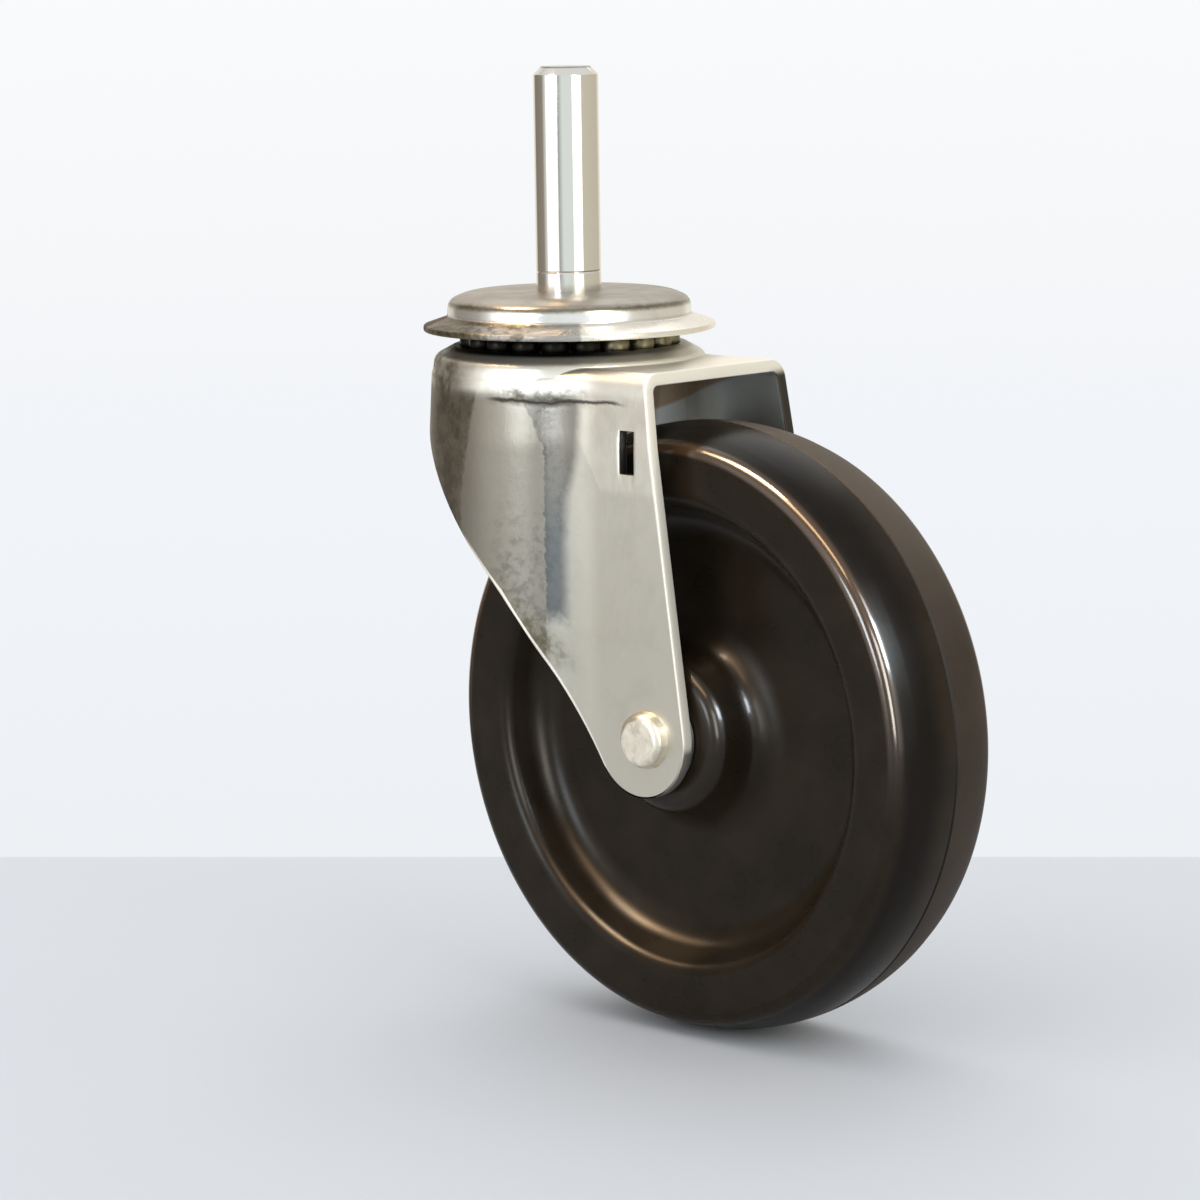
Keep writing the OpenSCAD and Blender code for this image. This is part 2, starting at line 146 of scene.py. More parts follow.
def corner(before, at, after, radius):
    """The arc that rounds a corner.  It touches both edges at radius over the
    tangent of half their angle, less where an edge is too short for that."""
    before, at, after = (np.asarray(p, float) for p in (before, at, after))
    u, v = unit(before - at), unit(after - at)
    half = math.acos(np.clip(u @ v, -1, 1)) / 2
    room = 0.49 * min(np.linalg.norm(before - at), np.linalg.norm(after - at))
    reach = min(radius / math.tan(half), room)
    radius = reach * math.tan(half)
    centre = at + unit(u + v) * radius / math.sin(half)
    ends = (at + edge * reach - centre for edge in (u, v))
    start, end = (math.degrees(math.atan2(y, x)) for x, y in ends)
    turn = (end - start + 180) % 360 - 180
    return arc(centre, radius, start, start + turn)


def rounded(corners):
    """An outline through (x, y, radius) corners, each rounded to its radius
    where the radius isn't nought."""
    count = len(corners)
    parts = [
        corner(corners[i - 1][:2], (x, y), corners[(i + 1) % count][:2], radius)
        if radius > 0
        else np.array([[x, y]])
        for i, (x, y, radius) in enumerate(corners)
    ]
    return np.concatenate(parts)


# Meshes


def cells(rows, columns, wrap_rows=False, wrap_columns=False):
    """Corner numbers of a grid's cells, where the point in row i and column j
    has the number i * columns + j."""
    i = np.arange(rows if wrap_rows else rows - 1)[:, None]
    j = np.arange(columns if wrap_columns else columns - 1)[None, :]
    k, m = (i + 1) % rows, (j + 1) % columns
    corners = [i * columns + j, i * columns + m, k * columns + m, k * columns + j]
    return np.stack(np.broadcast_arrays(*corners), axis=-1).reshape(-1, 4)


def piece(name, body, shape, nodes, material):
    """One object from a shape, which is points in millimetres and the corner
    numbers of its four sided faces.  Doubles are merged, faces turned
    outwards and shaded smooth up to an angle, and the object stands for CAD
    nodes on a body."""
    points, faces = shape
    mesh = bpy.data.meshes.new(name)
    mesh.from_pydata((points.reshape(-1, 3) * MM).tolist(), [], faces.tolist())
    work = bmesh.new()
    work.from_mesh(mesh)
    bmesh.ops.remove_doubles(work, verts=work.verts, dist=WELD_MM * MM)
    bmesh.ops.recalc_face_normals(work, faces=work.faces)
    work.to_mesh(mesh)
    work.free()
    mesh.polygons.foreach_set("use_smooth", np.ones(len(mesh.polygons), bool))
    mesh.set_sharp_from_angle(angle=SMOOTH_ANGLE)
    mesh.materials.append(material)
    made = bpy.data.objects.new(name, mesh)
    bpy.context.scene.collection.objects.link(made)
    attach(made, body)
    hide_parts(*nodes)
    return made


def turned(profile, closed=False, segments=TURN_SEGMENTS):
    """The surface (r cos a, r sin a, h) that the outline (r, h) sweeps as a
    goes once round."""
    angle = np.linspace(0, 2 * math.pi, segments, endpoint=False)
    r, h = profile[:, :1], profile[:, 1:]
    points = np.stack([r * np.cos(angle), r * np.sin(angle), h + 0 * angle], axis=-1)
    return points, cells(len(profile), segments, closed, wrap_columns=True)


def on_axle(shape):
    """Turns a shape about +Z into one about the axle, its +Z along +Y."""
    x, y, z = np.moveaxis(shape[0], -1, 0)
    return np.stack([AXLE_X + x, z, AXLE_Z - y], axis=-1), shape[1]


def joined(*shapes):
    """Several shapes as one."""
    points, faces, start = [], [], 0
    for p, f in shapes:
        points.append(p.reshape(-1, 3))
        faces.append(f + start)
        start += len(points[-1])
    return np.concatenate(points), np.concatenate(faces)


def merged(points, *others):
    """Merges points that lie in one place, and drops the same ones from
    others.  Gives the new number of each old point and the kept arrays."""
    keys = np.round(points / WELD_MM).astype(np.int64)
    _, first, number = np.unique(keys, axis=0, return_index=True, return_inverse=True)
    return number.ravel(), [a[first] for a in (points, *others)]


def square_to(vectors, normals):
    """Vectors without what they have along normals of length 1."""
    return vectors - normals * np.sum(vectors * normals, axis=-1, keepdims=True)


def rim_of(faces):
    """The edges that only one face has, and the number of that face."""
    edges = np.stack([faces, np.roll(faces, -1, axis=1)], axis=-1).reshape(-1, 2)
    owner = np.repeat(np.arange(len(faces)), faces.shape[1])
    real = edges[:, 0] != edges[:, 1]
    edges, owner = edges[real], owner[real]
    keys = np.sort(edges, axis=1)
    _, back, used = np.unique(keys, axis=0, return_inverse=True, return_counts=True)
    alone = used[back.ravel()] == 1
    return edges[alone], owner[alone]


def sheet_shell(outer, inner, faces, soft):
    """A sheet with rounded cut edges between two skins that share their
    faces.  At a rim point the edge runs from outer - soft t through
    outer - soft n to inner + soft n and inner - soft t, where n points out
    through the sheet and t points out of its rim."""
    number, (outer, inner) = merged(outer, inner)
    faces = number[faces]
    count = len(outer)
    edges, owner = rim_of(faces)
    through = unit(outer - inner)
    a, b = edges.T
    along = unit(outer[b] - outer[a])
    out = outer[edges].mean(axis=1) - outer[faces[owner]].mean(axis=1)
    out = unit(square_to(square_to(out, along), through[a]))
    tangent = np.zeros_like(outer)
    np.add.at(tangent, a, out)
    np.add.at(tangent, b, out)
    rim = np.unique(edges)
    t, n = unit(tangent[rim]), through[rim]
    part = (1 - math.sqrt(0.5)) * soft
    rings = [
        outer[rim] - part * (t + n),
        outer[rim] - soft * n,
        inner[rim] + soft * n,
        inner[rim] - part * (t - n),
    ]
    outer, inner = outer.copy(), inner.copy()
    outer[rim] -= soft * t
    inner[rim] -= soft * t
    place = np.full(count, -1)
    place[rim] = np.arange(len(rim))
    starts = (2 * count + k * len(rim) for k in range(len(rings)))
    chain = [(a, b), *((start + place[a], start + place[b]) for start in starts)]
    chain.append((a + count, b + count))
    strips = [
        np.stack([low[0], low[1], high[1], high[0]], axis=1)
        for low, high in zip(chain, chain[1:])
    ]
    points = np.concatenate([outer, inner, *rings])
    return points, np.concatenate([faces, faces[:, ::-1] + count, *strips])


# Finishes


def maths(operation, reflected=False):
    """A method of a Value that adds a Math node of this operation."""

    def method(self, other=0.0):
        """The Value that the node gives."""
        values = (other, self) if reflected else (self, other)
        return self.finish.math(operation, *values)

    return method


class Value:
    """A shader socket.  Python's operators on it add Math nodes."""

    def __init__(self, finish, socket):
        self.finish = finish
        self.socket = socket

    __add__ = __radd__ = maths("ADD")
    __mul__ = __rmul__ = maths("MULTIPLY")
    __sub__, __rsub__ = maths("SUBTRACT"), maths("SUBTRACT", reflected=True)
    __truediv__, __rtruediv__ = maths("DIVIDE"), maths("DIVIDE", reflected=True)
    __pow__ = maths("POWER")
    __abs__ = maths("ABSOLUTE")


class Finish:
    """Builds one node tree.  Every node comes from node().  The coordinates
    x, y and z are in the given unit, and place is in metres."""

    def __init__(self, tree, coordinates="Object", unit=MM):
        self.tree = tree
        tree.nodes.clear()
        self.place = self.node("TexCoord", out=coordinates)
        parts = self.node("SeparateXYZ", sockets={0: self.place}, out=None)
        self.x, self.y, self.z = (Value(self, s) / unit for s in parts.outputs)

    def node(self, kind, settings=None, sockets=None, out=0):
        """A node of one kind: its settings are set first, then each socket
        gets a value or a link.  out names the output that comes back."""
        made = self.tree.nodes.new("ShaderNode" + kind)
        for key, value in (settings or {}).items():
            if key == "stops":
                self.set_stops(made.color_ramp, value)
            else:
                setattr(made, key, value)
        for key, value in (sockets or {}).items():
            if isinstance(value, Value):
                self.tree.links.new(value.socket, made.inputs[key])
            else:
                made.inputs[key].default_value = value
        return made if out is None else Value(self, made.outputs[out])

    @staticmethod
    def set_stops(ramp, stops):
        """Sets a ramp's (position, colour) stops."""
        for _ in stops[2:]:
            ramp.elements.new(1.0)
        for element, (position, shade) in zip(ramp.elements, stops):
            element.position = position
            element.color = (*shade, 1.0)

    def math(self, operation, a, b=0.0):
        """A number worked out from one or two numbers."""
        return self.node("Math", {"operation": operation}, {0: a, 1: b})

    def vector(self, operation, a, b):
        """A vector worked out from two vectors."""
        return self.node("VectorMath", {"operation": operation}, {0: a, 1: b})

    def most(self, a, b):
        """The greater of two values."""
        return self.math("MAXIMUM", a, b)

    def step(self, value, low, high):
        """Runs smoothly from 0 to 1 while value goes from low to high, which
        may be the lesser of the two."""
        settings = {"interpolation_type": "SMOOTHSTEP"}
        return self.node("MapRange", settings, {0: value, 1: low, 2: high})

    def band(self, value, low, high, soft):
        """1 between low and high, falling to 0 over soft on both sides."""
        rise = self.step(value, low - soft, low + soft)
        return rise * self.step(value, high + soft, high - soft)

    def near(self, centre, radius):
        """1 at a point and 0 beyond a radius of it, in millimetres."""
        offset = self.vector("SUBTRACT", self.place, tuple(c * MM for c in centre))
        far = self.node("VectorMath", {"operation": "LENGTH"}, {0: offset}, "Value")
        return self.step(far, radius * MM, 0.0)

    def radius(self, a, b):
        """Distance from the axis on which a and b are nought."""
        return (a * a + b * b) ** 0.5

    def rightwards(self):
        """How far to the right a point lies, as the photo shows the castor."""
        return self.x * 0.72 + self.y * 0.69

    def noise(self, scale, detail=3.0, rough=0.5, stretch=None, seed=0.0):
        """Noise from 0 to 1 with a scale in waves a metre, which stretch
        multiplies along each axis."""
        place = self.place
        if stretch:
            place = self.vector("MULTIPLY", place, stretch)
        sockets = {"Vector": place, "W": seed, "Scale": scale, "Detail": detail}
        sockets["Roughness"] = rough
        return self.node("TexNoise", {"noise_dimensions": "4D"}, sockets)

    def spots(self, scale, seed=0.0):
        """Distance to the nearest of many scattered points."""
        sockets = {"Vector": self.place, "W": seed, "Scale": scale}
        return self.node("TexVoronoi", {"voronoi_dimensions": "4D"}, sockets)

    def mix(self, a, b, factor):
        """Colour a turning to colour b as factor goes from 0 to 1."""
        a, b = (c if isinstance(c, Value) else (*c, 1.0) for c in (a, b))
        return self.node("Mix", {"data_type": "RGBA"}, {0: factor, 6: a, 7: b}, 2)

    def coats(self, shade, *coats):
        """A colour under coats of (colour, share), each over the last."""
        for colour_over, share in coats:
            shade = self.mix(shade, colour_over, share)
        return shade

    def bump(self, height, depth):
        """Normals of a surface raised by height times depth millimetres."""
        return self.node("Bump", None, {"Height": height, "Distance": depth * MM})

    def surface(self, **sockets):
        """Ends the tree in one Principled shader with these sockets, named
        with _ for a space."""
        named = {key.replace("_", " "): value for key, value in sockets.items()}
        shader = self.node("BsdfPrincipled", None, named)
        self.node("OutputMaterial", None, {"Surface": shader}, None)


def new_finish(name):
    """A new material and the Finish that builds it."""
    material = bpy.data.materials.new(name)
    material.use_nodes = True
    return material, Finish(material.node_tree)


def chrome(colours):
    """Polished plating with fine turning marks, haze, specks, a dull tip and
    painted shade over its foot above the cap.
    """
    material, f = new_finish("stem_chrome")
    tip_brown = (0.13, 0.10, 0.075)
    marks = f.noise(9000, 2, 0.6, stretch=(0.02, 0.02, 1))
    haze = f.step(f.noise(260, 4, 0.6), 0.42, 0.75)
    specks = f.step(f.spots(900), 0.10, 0.02)
    # Painted shade: the foot above the cap is darkened, patchy with the haze.
    low = f.step(f.z, 4, 0)
    tip = f.step(f.z, 37.1, 37.4)
    shade = f.coats(
        colours.stem,
        (colours.stain_and_shade, specks * 0.35 + low * haze * 0.3),
        (tip_brown, tip * (0.7 + haze * 0.3)),
    )
    f.surface(
        Base_Color=shade,
        Metallic=1.0,
        Roughness=0.07 + haze * 0.06 + low * 0.1,
        Normal=f.bump(marks, 0.0006),
    )
    return material


def cap_plating(colours):
    """Satin plating: painted shade on the top, with a dark line round its
    shoulder, a painted highlight round the dome's wall, painted shade in the
    dome's foot, a lumpy rim that is darker on the left with a painted
    highlight on its right, and a rusty tip."""
    material, f = new_finish("cap_plating")
    top_shade, wall_highlight = (0.27, 0.245, 0.21), (0.95, 0.95, 0.97)
    grey_rim, rim_highlight = (0.46, 0.44, 0.41), (0.97, 0.93, 0.84)
    black_lumps = (0.05, 0.04, 0.03)
    cloud = f.step(f.noise(170, 5, 0.62), 0.38, 0.66)
    fine = f.noise(2600, 3, 0.6)
    grain = f.noise(5000, 2, 0.6, stretch=(1, 1, 0.05))
    ragged = (f.noise(900, 3, 0.6, seed=8.0) - 0.5) * 1.4
    side = f.rightwards() + ragged
    low = f.step(f.z, -3.7, -4.4)
    # Painted shade over the flat top.
    top = f.step(f.z, -1.7, -1.1)
    # A painted highlight round the dome's upright wall.
    wall = f.band(f.z, -3.9, -2.5, 0.3)
    left = f.step(side, 1, -9) * low
    far_left = f.step(side, -11, -18) * low
    # A painted highlight on the rim's right side.
    bright = f.step(side, 1.7, 2.4) * low
    tip = f.near((-17.5, -17.0, -5.6), 9)
    rust = f.step(tip + f.noise(420, 4, 0.6, seed=2.0) * 0.6, 0.6, 0.9)
    line = f.band(f.z + ragged * 0.3, -2.2, -1.4, 0.35)
    # Painted shade in the dome's foot, where it meets the rim; it joins the clouds, the
    # darker left and the shoulder line.
    foot = f.band(f.z, -4.5, -3.9, 0.35)
    lumps = f.noise(620, 3, 0.5, seed=4.0) * left
    darkening = cloud * 0.18 + left * 0.3 + far_left * 0.6 + foot * 0.4 + line * 0.8
    shade = f.coats(
        colours.cap,
        (top_shade, top * 0.9),
        (grey_rim, low * 0.85),
        (wall_highlight, wall * 0.8),
        (colours.stain_and_shade, darkening),
        (rim_highlight, bright * 0.8),
        (colours.rust, rust),
        (black_lumps, f.step(lumps, 0.42, 0.60) * 0.6),
    )
    rough = 0.18 + top * 0.14 + cloud * 0.12 + left * 0.2 + rust * 0.3 + fine * 0.04
    f.surface(
        Base_Color=shade,
        Metallic=0.9 - rust * 0.8 - bright * 0.3,
        Roughness=rough,
        Normal=f.bump(lumps * 34 + fine * 0.5 + grain * 0.4, 0.012),
    )
    return material


class ForkZinc:
    """The fork's satin zinc with rolled grain.  From the head's left round to
    the flat leg it has olive tarnish with painted shade, painted reflections
    of a pale panel with a ragged edge and of a blue-grey band, and the leg's
    even grey.  The properties are shares from 0 to 1; bend, rear, ring,
    inside and edges give lists of (colour, share) coats.  Places on the fork
    are in millimetres."""

    def __init__(self, colours):
        self.colours = colours
        self.material, self.f = new_finish("fork_zinc")
        f = self.f
        # Random clouds from wide to fine, for wear and to break up the painted marks.
        self.cloud = f.noise(150, 5, 0.6)
        self.patch = f.step(f.noise(260, 5, 0.65, seed=3.0), 0.4, 0.62)
        self.mottle = f.step(f.noise(620, 4, 0.65, seed=11.0), 0.42, 0.66)
        # How far an edge strays, fine and wide.
        self.ragged = (f.noise(700, 4, 0.6, seed=5.0) - 0.5) * 1.6
        self.wander = (f.noise(130, 3, 0.6, seed=5.0) - 0.5) * 3.2
        # The right half, the wall below the bend, and the front's slant.
        self.right = f.step(f.y, 0, -4)
        self.wall = f.step(f.z, -14.5, -17.0)
        self.front = f.step(f.x + f.z * 0.1435, 31.15, 31.45)
        self.reach = f.radius(f.x, f.y)

    @cached_property
    def head(self):
        """Olive tarnish with painted shade on the head's left, up to the painted
        panel's left edge, and over the rear of the top.
        """
        f = self.f
        panel_left = f.most((f.z + 33) * 0.22, 0.0) - 2.7
        in_panel = f.step(f.x + self.ragged - panel_left, -0.4, 0.5)
        over_bend = f.step(f.x, 2, -8) * (1.0 - self.wall)
        return (1.0 - in_panel) * self.wall + over_bend * (0.5 + self.patch * 0.5)

    @cached_property
    def crease(self):
        """Painted shade along the crease below the bend: a wide patchy band
        with a thin line.
        """
        f = self.f
        wide_shade = f.band(f.z + self.wander * 0.6, -17.0, -14.2, 0.8)
        wide_shade = wide_shade * (0.35 + self.patch * 0.65) * f.band(f.x, 5, 20, 4)
        thin = f.band(f.z + self.wander * 0.7 + self.ragged * 0.3, -16.7, -16.1, 0.3)
        return f.most(wide_shade * 0.85, thin * f.band(f.x, 4, 28, 2)) * self.right

    @cached_property
    def inner(self):
        """The inner faces of the legs and of the head's wall."""
        f = self.f
        turn_off = abs(f.y) - f.most(24.2 - f.x * 0.4, 16.6)
        legs = f.step(turn_off, 0.3, -0.3) * f.step(f.x, 7, 9)
        head = f.step(self.reach, 22.9, 22.5) * f.step(f.x, 9, 7)
        return f.most(legs, head) * f.step(f.z, -13.2, -13.6)

    @cached_property
    def far_edge(self):
        """The far leg's front edge."""
        f = self.f
        return self.front * f.step(f.y, 12.5, 15) * f.step(f.z, -12, -14)

    @cached_property
    def cut_edge(self):
        """The front edges of the near leg and of the top."""
        return self.front * (1.0 - self.far_edge)

    def leg(self):
        """The flat leg: darker towards the bottom, with grey clouds; painted
        reflections give it a paler patch high up at the front and darken it
        towards the head."""
        f = self.f
        low_grey, reflected_facet_grey = (0.58, 0.55, 0.47), (0.86, 0.83, 0.74)
        cloud_grey, head_grey = (0.40, 0.38, 0.32), (0.34, 0.325, 0.285)
        # Painted reflections: a paler patch at the front, and darker grey towards the
        # head.
        slant = 18.5 + f.most(-21.5 - f.z, 0.0) * 0.56
        reflected_facet = f.step(f.x - slant, -0.15, 0.2) * f.step(f.z, -31.5, -29.5)
        return f.coats(
            self.colours.fork,
            (low_grey, f.step(f.z, -18, -60)),
            (reflected_facet_grey, reflected_facet * self.right * 0.7),
            (cloud_grey, f.step(self.cloud, 0.45, 0.75) * 0.25),
            (head_grey, f.step(f.x, 23, 15) * self.wall * 0.8),
        )

    def skin(self):
        """The outer skin: painted reflections of a pale panel, with a dark line
        at its ragged edge, and of the band; and the leg beyond the band and
        above and below it."""
        f, mottle = self.f, self.mottle
        # The pale panel, the line at its ragged edge and the band are painted
        # reflections, with random spots.
        band_brown, band_blue = (0.20, 0.185, 0.16), (0.128, 0.135, 0.135)
        band_spot, panel_edge_dark = (0.07, 0.07, 0.065), (0.07, 0.07, 0.06)
        panel_pale, panel_spot = (0.275, 0.252, 0.212), (0.15, 0.145, 0.13)
        panel_right = 13.2 - f.most((f.z + 24) * 0.43, 0.0)
        beyond = f.x + self.ragged - panel_right
        band_right = 16.6 + f.step(f.z, -34, -24) * 2.4
        after_band = f.step(f.x + self.wander * 0.5 - band_right, -1.2, 1.4)
        in_band = f.step(f.z + self.ragged * 2, -54, -50.5)
        band = f.mix(band_brown, band_blue, f.step(f.z, -23, -42))
        band = f.mix(band, band_spot, mottle * self.patch * 0.5)
        spotted = mottle * f.step(f.z, -28, -44) * f.step(f.x, 2, 7)
        panel_edge_line = f.band(beyond, 0.1, 0.5, 0.3) * (0.15 + self.patch * 0.2)
        leg = self.leg()
        band = f.mix(band, leg, f.most(after_band, 1.0 - in_band))
        return f.coats(
            panel_pale,
            (panel_spot, spotted * 0.75),
            (band, f.step(beyond, -0.12, 0.15)),
            (panel_edge_dark, panel_edge_line * f.step(f.z, -46, -40)),
            (leg, 1.0 - self.wall),
        )

    def bend(self):
        """Round the top bend: a painted highlight strip, olive tarnish with
        painted shade, and painted shade along the crease.
        """
        f = self.f
        olive, dark_olive = (0.175, 0.155, 0.118), (0.085, 0.072, 0.05)
        bend_highlight_white, crease_shade_black = (0.97, 0.95, 0.88), (0.03, 0.023, 0.015)
        # Olive tarnish, and painted shade where it darkens the head's left.
        tarnish = f.mix(olive, dark_olive, self.patch * 0.6 + self.mottle * 0.4)
        # A painted highlight along the bend.
        bend_highlight = f.band(f.z + self.wander * 0.3, -15.0, -11.7, 0.7) * f.step(f.x, -7, 1)
        return [
            (bend_highlight_white, bend_highlight * self.right * 0.85),
            (tarnish, self.head),
            (crease_shade_black, self.crease * 0.95),
        ]

    def rear(self):
        """Down the rear edge: blotchy darkening, and a fine pale line at the very
        edge, which has an upper and a lower straight."""
        f = self.f
        edge_line_pale = (0.92, 0.87, 0.76)
        darkening = f.step(f.x * 1.09 + f.z, -37, -43) * f.step(f.z, -63, -56)
        upper_gap = (f.x * 1.095 + f.z + 42.06) / 1.483
        lower_gap = (f.x * 1.564 + f.z + 39.4) / 1.856
        edge_line = f.step(f.most(upper_gap, lower_gap), 0.6, 0.35) * f.step(f.x, -3, 1)
        return [
            (self.colours.stain_and_shade, darkening * (0.3 + self.mottle * 0.7) * f.step(f.x, 2, 7)),
            (edge_line_pale, edge_line * 0.85),
        ]

    def ring(self):
        """Black greasing and painted shade on the ball ring in the gap under the
        cap, darker on the left.
        """
        f = self.f
        grease_shade_black = (0.016, 0.013, 0.009)
        grease_and_shade = f.step(self.reach, 21.2, 20.2) * f.step(f.z, -11.0, -10.2)
        darker_left = f.step(f.rightwards(), 14, 2)
        return [(grease_shade_black, grease_and_shade * (0.45 + darker_left * 0.55))]

    def inside(self):
        """Painted shade on the inner faces: dark slate, and brown under the hood."""
        f = self.f
        slate, hood_shade_brown = (0.37, 0.40, 0.40), (0.24, 0.18, 0.115)
        # The brown painted shade under the hood.
        brown = f.step(f.z - f.x * 0.31, -22.4, -21.7)
        return [(f.mix(slate, hood_shade_brown, brown), self.inner * 0.92)]

    def edges(self):
        """A painted highlight on the near cut edges and the top's front, and
        painted shade on the far leg's edge and on the slot's walls.
        """
        f = self.f
        far_edge_shade, edge_highlight = (0.05, 0.045, 0.035), (0.96, 0.92, 0.82)
        slot_shade = (0.012, 0.010, 0.008)
        hood = f.step(f.x, 20, 25) * f.step(f.z, -12.6, -11.4)
        slot = f.band(f.x, 28.0, 31.2, 0.08) * f.band(f.z, -27.55, -20.45, 0.08)
        return [
            (far_edge_shade, self.far_edge),
            (edge_highlight, f.most(self.cut_edge, hood) * 0.85),
            (slot_shade, slot * self.right),
        ]

    def finish(self):
        """Lays the coats over each other and ends the material."""
        f = self.f
        coats = [*self.bend(), *self.rear(), *self.ring(), *self.inside(), *self.edges()]
        grain = f.noise(3800, 3, 0.6, stretch=(1, 1, 0.06))
        dull = self.head * 0.12 + self.crease * 0.3 + self.inner * 0.1
        relief = grain * 0.5 + self.cloud * 2 - self.crease * 4 + self.mottle * 0.2
        f.surface(
            Base_Color=f.coats(self.skin(), *coats),
            Metallic=0.82 - self.crease * 0.4 - self.cut_edge * 0.4,
            Roughness=0.3 + grain * 0.06 + dull + self.cut_edge * 0.15,
            Normal=f.bump(relief, 0.03),
        )
        return self.material


def hammered_steel(colours):
    """Bright rivet metal with hammer facets and a warm tarnish."""
    material, f = new_finish("rivet_steel")
    facets = f.spots(420)
    patch = f.step(f.noise(500, 4, 0.6), 0.45, 0.65)
    f.surface(
        Base_Color=f.mix(colours.rivet, colours.stain_and_shade, patch * 0.3),
        Metallic=1.0,
        Roughness=0.3 + patch * 0.15,
        Normal=f.bump(facets + f.noise(900, 3, 0.6) * 0.4, 0.14),
    )
    return material


def moulded_wheel(colours):
    """Dark brown moulded wheel with fine orange peel: a glossier rim corner and
    hub with a painted orange highlight on the corner's upper arc, painted
    shade on the near half tread, a dusty far half whose colour also stands
    in for light, with painted light on its top, and the dark parting line
    between them."""
    material, f = new_finish("wheel_moulded")
    cloud_brown, near_half_shade = (0.026, 0.018, 0.0105), (0.006, 0.0035, 0.002)
    top_light_brown, corner_glint_orange = (0.115, 0.094, 0.072), (0.10, 0.05, 0.02)
    speck_grey, line_black = (0.16, 0.14, 0.11), (0.006, 0.0045, 0.0035)
    peel = f.noise(1500, 2, 0.5)
    wave = f.noise(210, 3, 0.5, seed=2.0)
    cloud = f.step(f.noise(90, 4, 0.6, seed=4.0), 0.35, 0.7)
    speck = f.step(f.spots(1300, 6.0), 0.09, 0.02)
    above = f.z - AXLE_Z
    reach = f.radius(f.x - AXLE_X, above)
    tread = f.step(reach, 48.2, 49.2)
    far_half = f.step(f.y, -0.2, 0.4) * tread
    near_half = f.step(f.y, -1, -6) * tread
    line = f.band(f.y, -0.25, 0.25, 0.15) * tread
    rim_corner = f.band(reach, 46.6, 49.0, 0.4) * f.step(abs(f.y), 10.0, 11.0)
    hub = f.step(reach, 15.5, 14)
    root = f.step(reach, 24, 19) * (1.0 - hub)
    shade = f.coats(
        colours.rubber,
        (cloud_brown, cloud),
        # Painted shade on the near half tread.
        (near_half_shade, near_half * 0.9),
        # A dusty far half whose colour also stands in for light, with painted light on
        # its top.
        (colours.dust_and_light, far_half * (0.55 + cloud * 0.45)),
        (top_light_brown, far_half * f.step(above, 16, 42) * 0.8),
        # A painted orange highlight on the rim corner's upper arc.
        (corner_glint_orange, rim_corner * f.step(above, -6, 24) * 0.7),
        (speck_grey, speck * 0.25),
        (line_black, line),
    )
    f.surface(
        Base_Color=shade,
        Roughness=0.27 + cloud * 0.06 + root * 0.1 + far_half * 0.3 - rim_corner * 0.06,
        Specular_IOR_Level=0.12,
        Coat_Weight=f.most(rim_corner * f.step(above, -8, 10), hub * 0.2),
        Coat_Roughness=0.12,
        Normal=f.bump(peel * 0.4 + wave * 0.7, 0.012),
    )
    return material


def plain_steel(name, shade, rough, streaks):
    """Steel of the hidden parts: turning streaks, clouds of old oil and dull
    specks."""
    material, f = new_finish(name)
    fine = f.noise(3000, 3, 0.6, stretch=streaks)
    oil = f.step(f.noise(350, 4, 0.6), 0.4, 0.7)
    dark = tuple(c * 0.35 for c in shade)
    f.surface(
        Base_Color=f.mix(shade, dark, oil * 0.6),
        Metallic=1.0,
        Roughness=rough + oil * 0.15 + fine * 0.05,
        Normal=f.bump(fine, 0.004),
    )
    return material


def greasy_shaded_balls():
    """Ground steel balls, black with greasing and painted shade, and painted
    lighter on the right where they catch light.
    """
    material, f = new_finish("ball_grease_and_shade")
    grease_and_shade, steel = (0.012, 0.010, 0.007), (0.26, 0.235, 0.15)
    smear = f.step(f.noise(700, 4, 0.6), 0.35, 0.6)
    # Painted light: the balls on the right show their steel.
    lit_right = f.step(f.rightwards(), 4.5, 7)
    f.surface(
        Base_Color=f.mix(grease_and_shade, steel, lit_right * (0.5 + smear * 0.5)),
        Metallic=0.8,
        Roughness=0.3 + smear * 0.15,
        Normal=f.bump(smear, 0.01),
    )
    return material


# Shapes


def stem_outline(s):
    """Half section of the stem, as (radius, height): bevelled tip, fine
    turned line, and the neck and foot down to its peened end."""
    r, top, bevel, soft = s["stem_d"] / 2, s["stem_l"], s["stem_bevel"], 0.25
    line_z, line_half, line_deep, line_soft = 3.2, 0.24, 0.12, 0.05
    neck_r, neck_z, foot_r, foot_z = 4.5, -15.25, 3.6, -18.45
    peen_r, peen_z, peen_round = 5.5, -20.85, 1.6
    corners = [(0, top, 0), (r - bevel, top, soft), (r, top - bevel, soft)]
    corners += [(r, line_z + line_half, line_soft), (r - line_deep, line_z, line_soft)]
    corners += [(r, line_z - line_half, line_soft), (r, 0, 0), (neck_r, 0, 0)]
    corners += [(neck_r, neck_z, 0), (foot_r, neck_z, 0), (foot_r, foot_z, 0)]
    corners += [(peen_r, foot_z, 0.1), (peen_r, peen_z, peen_round), (0, peen_z, 0)]
    return rounded(corners)


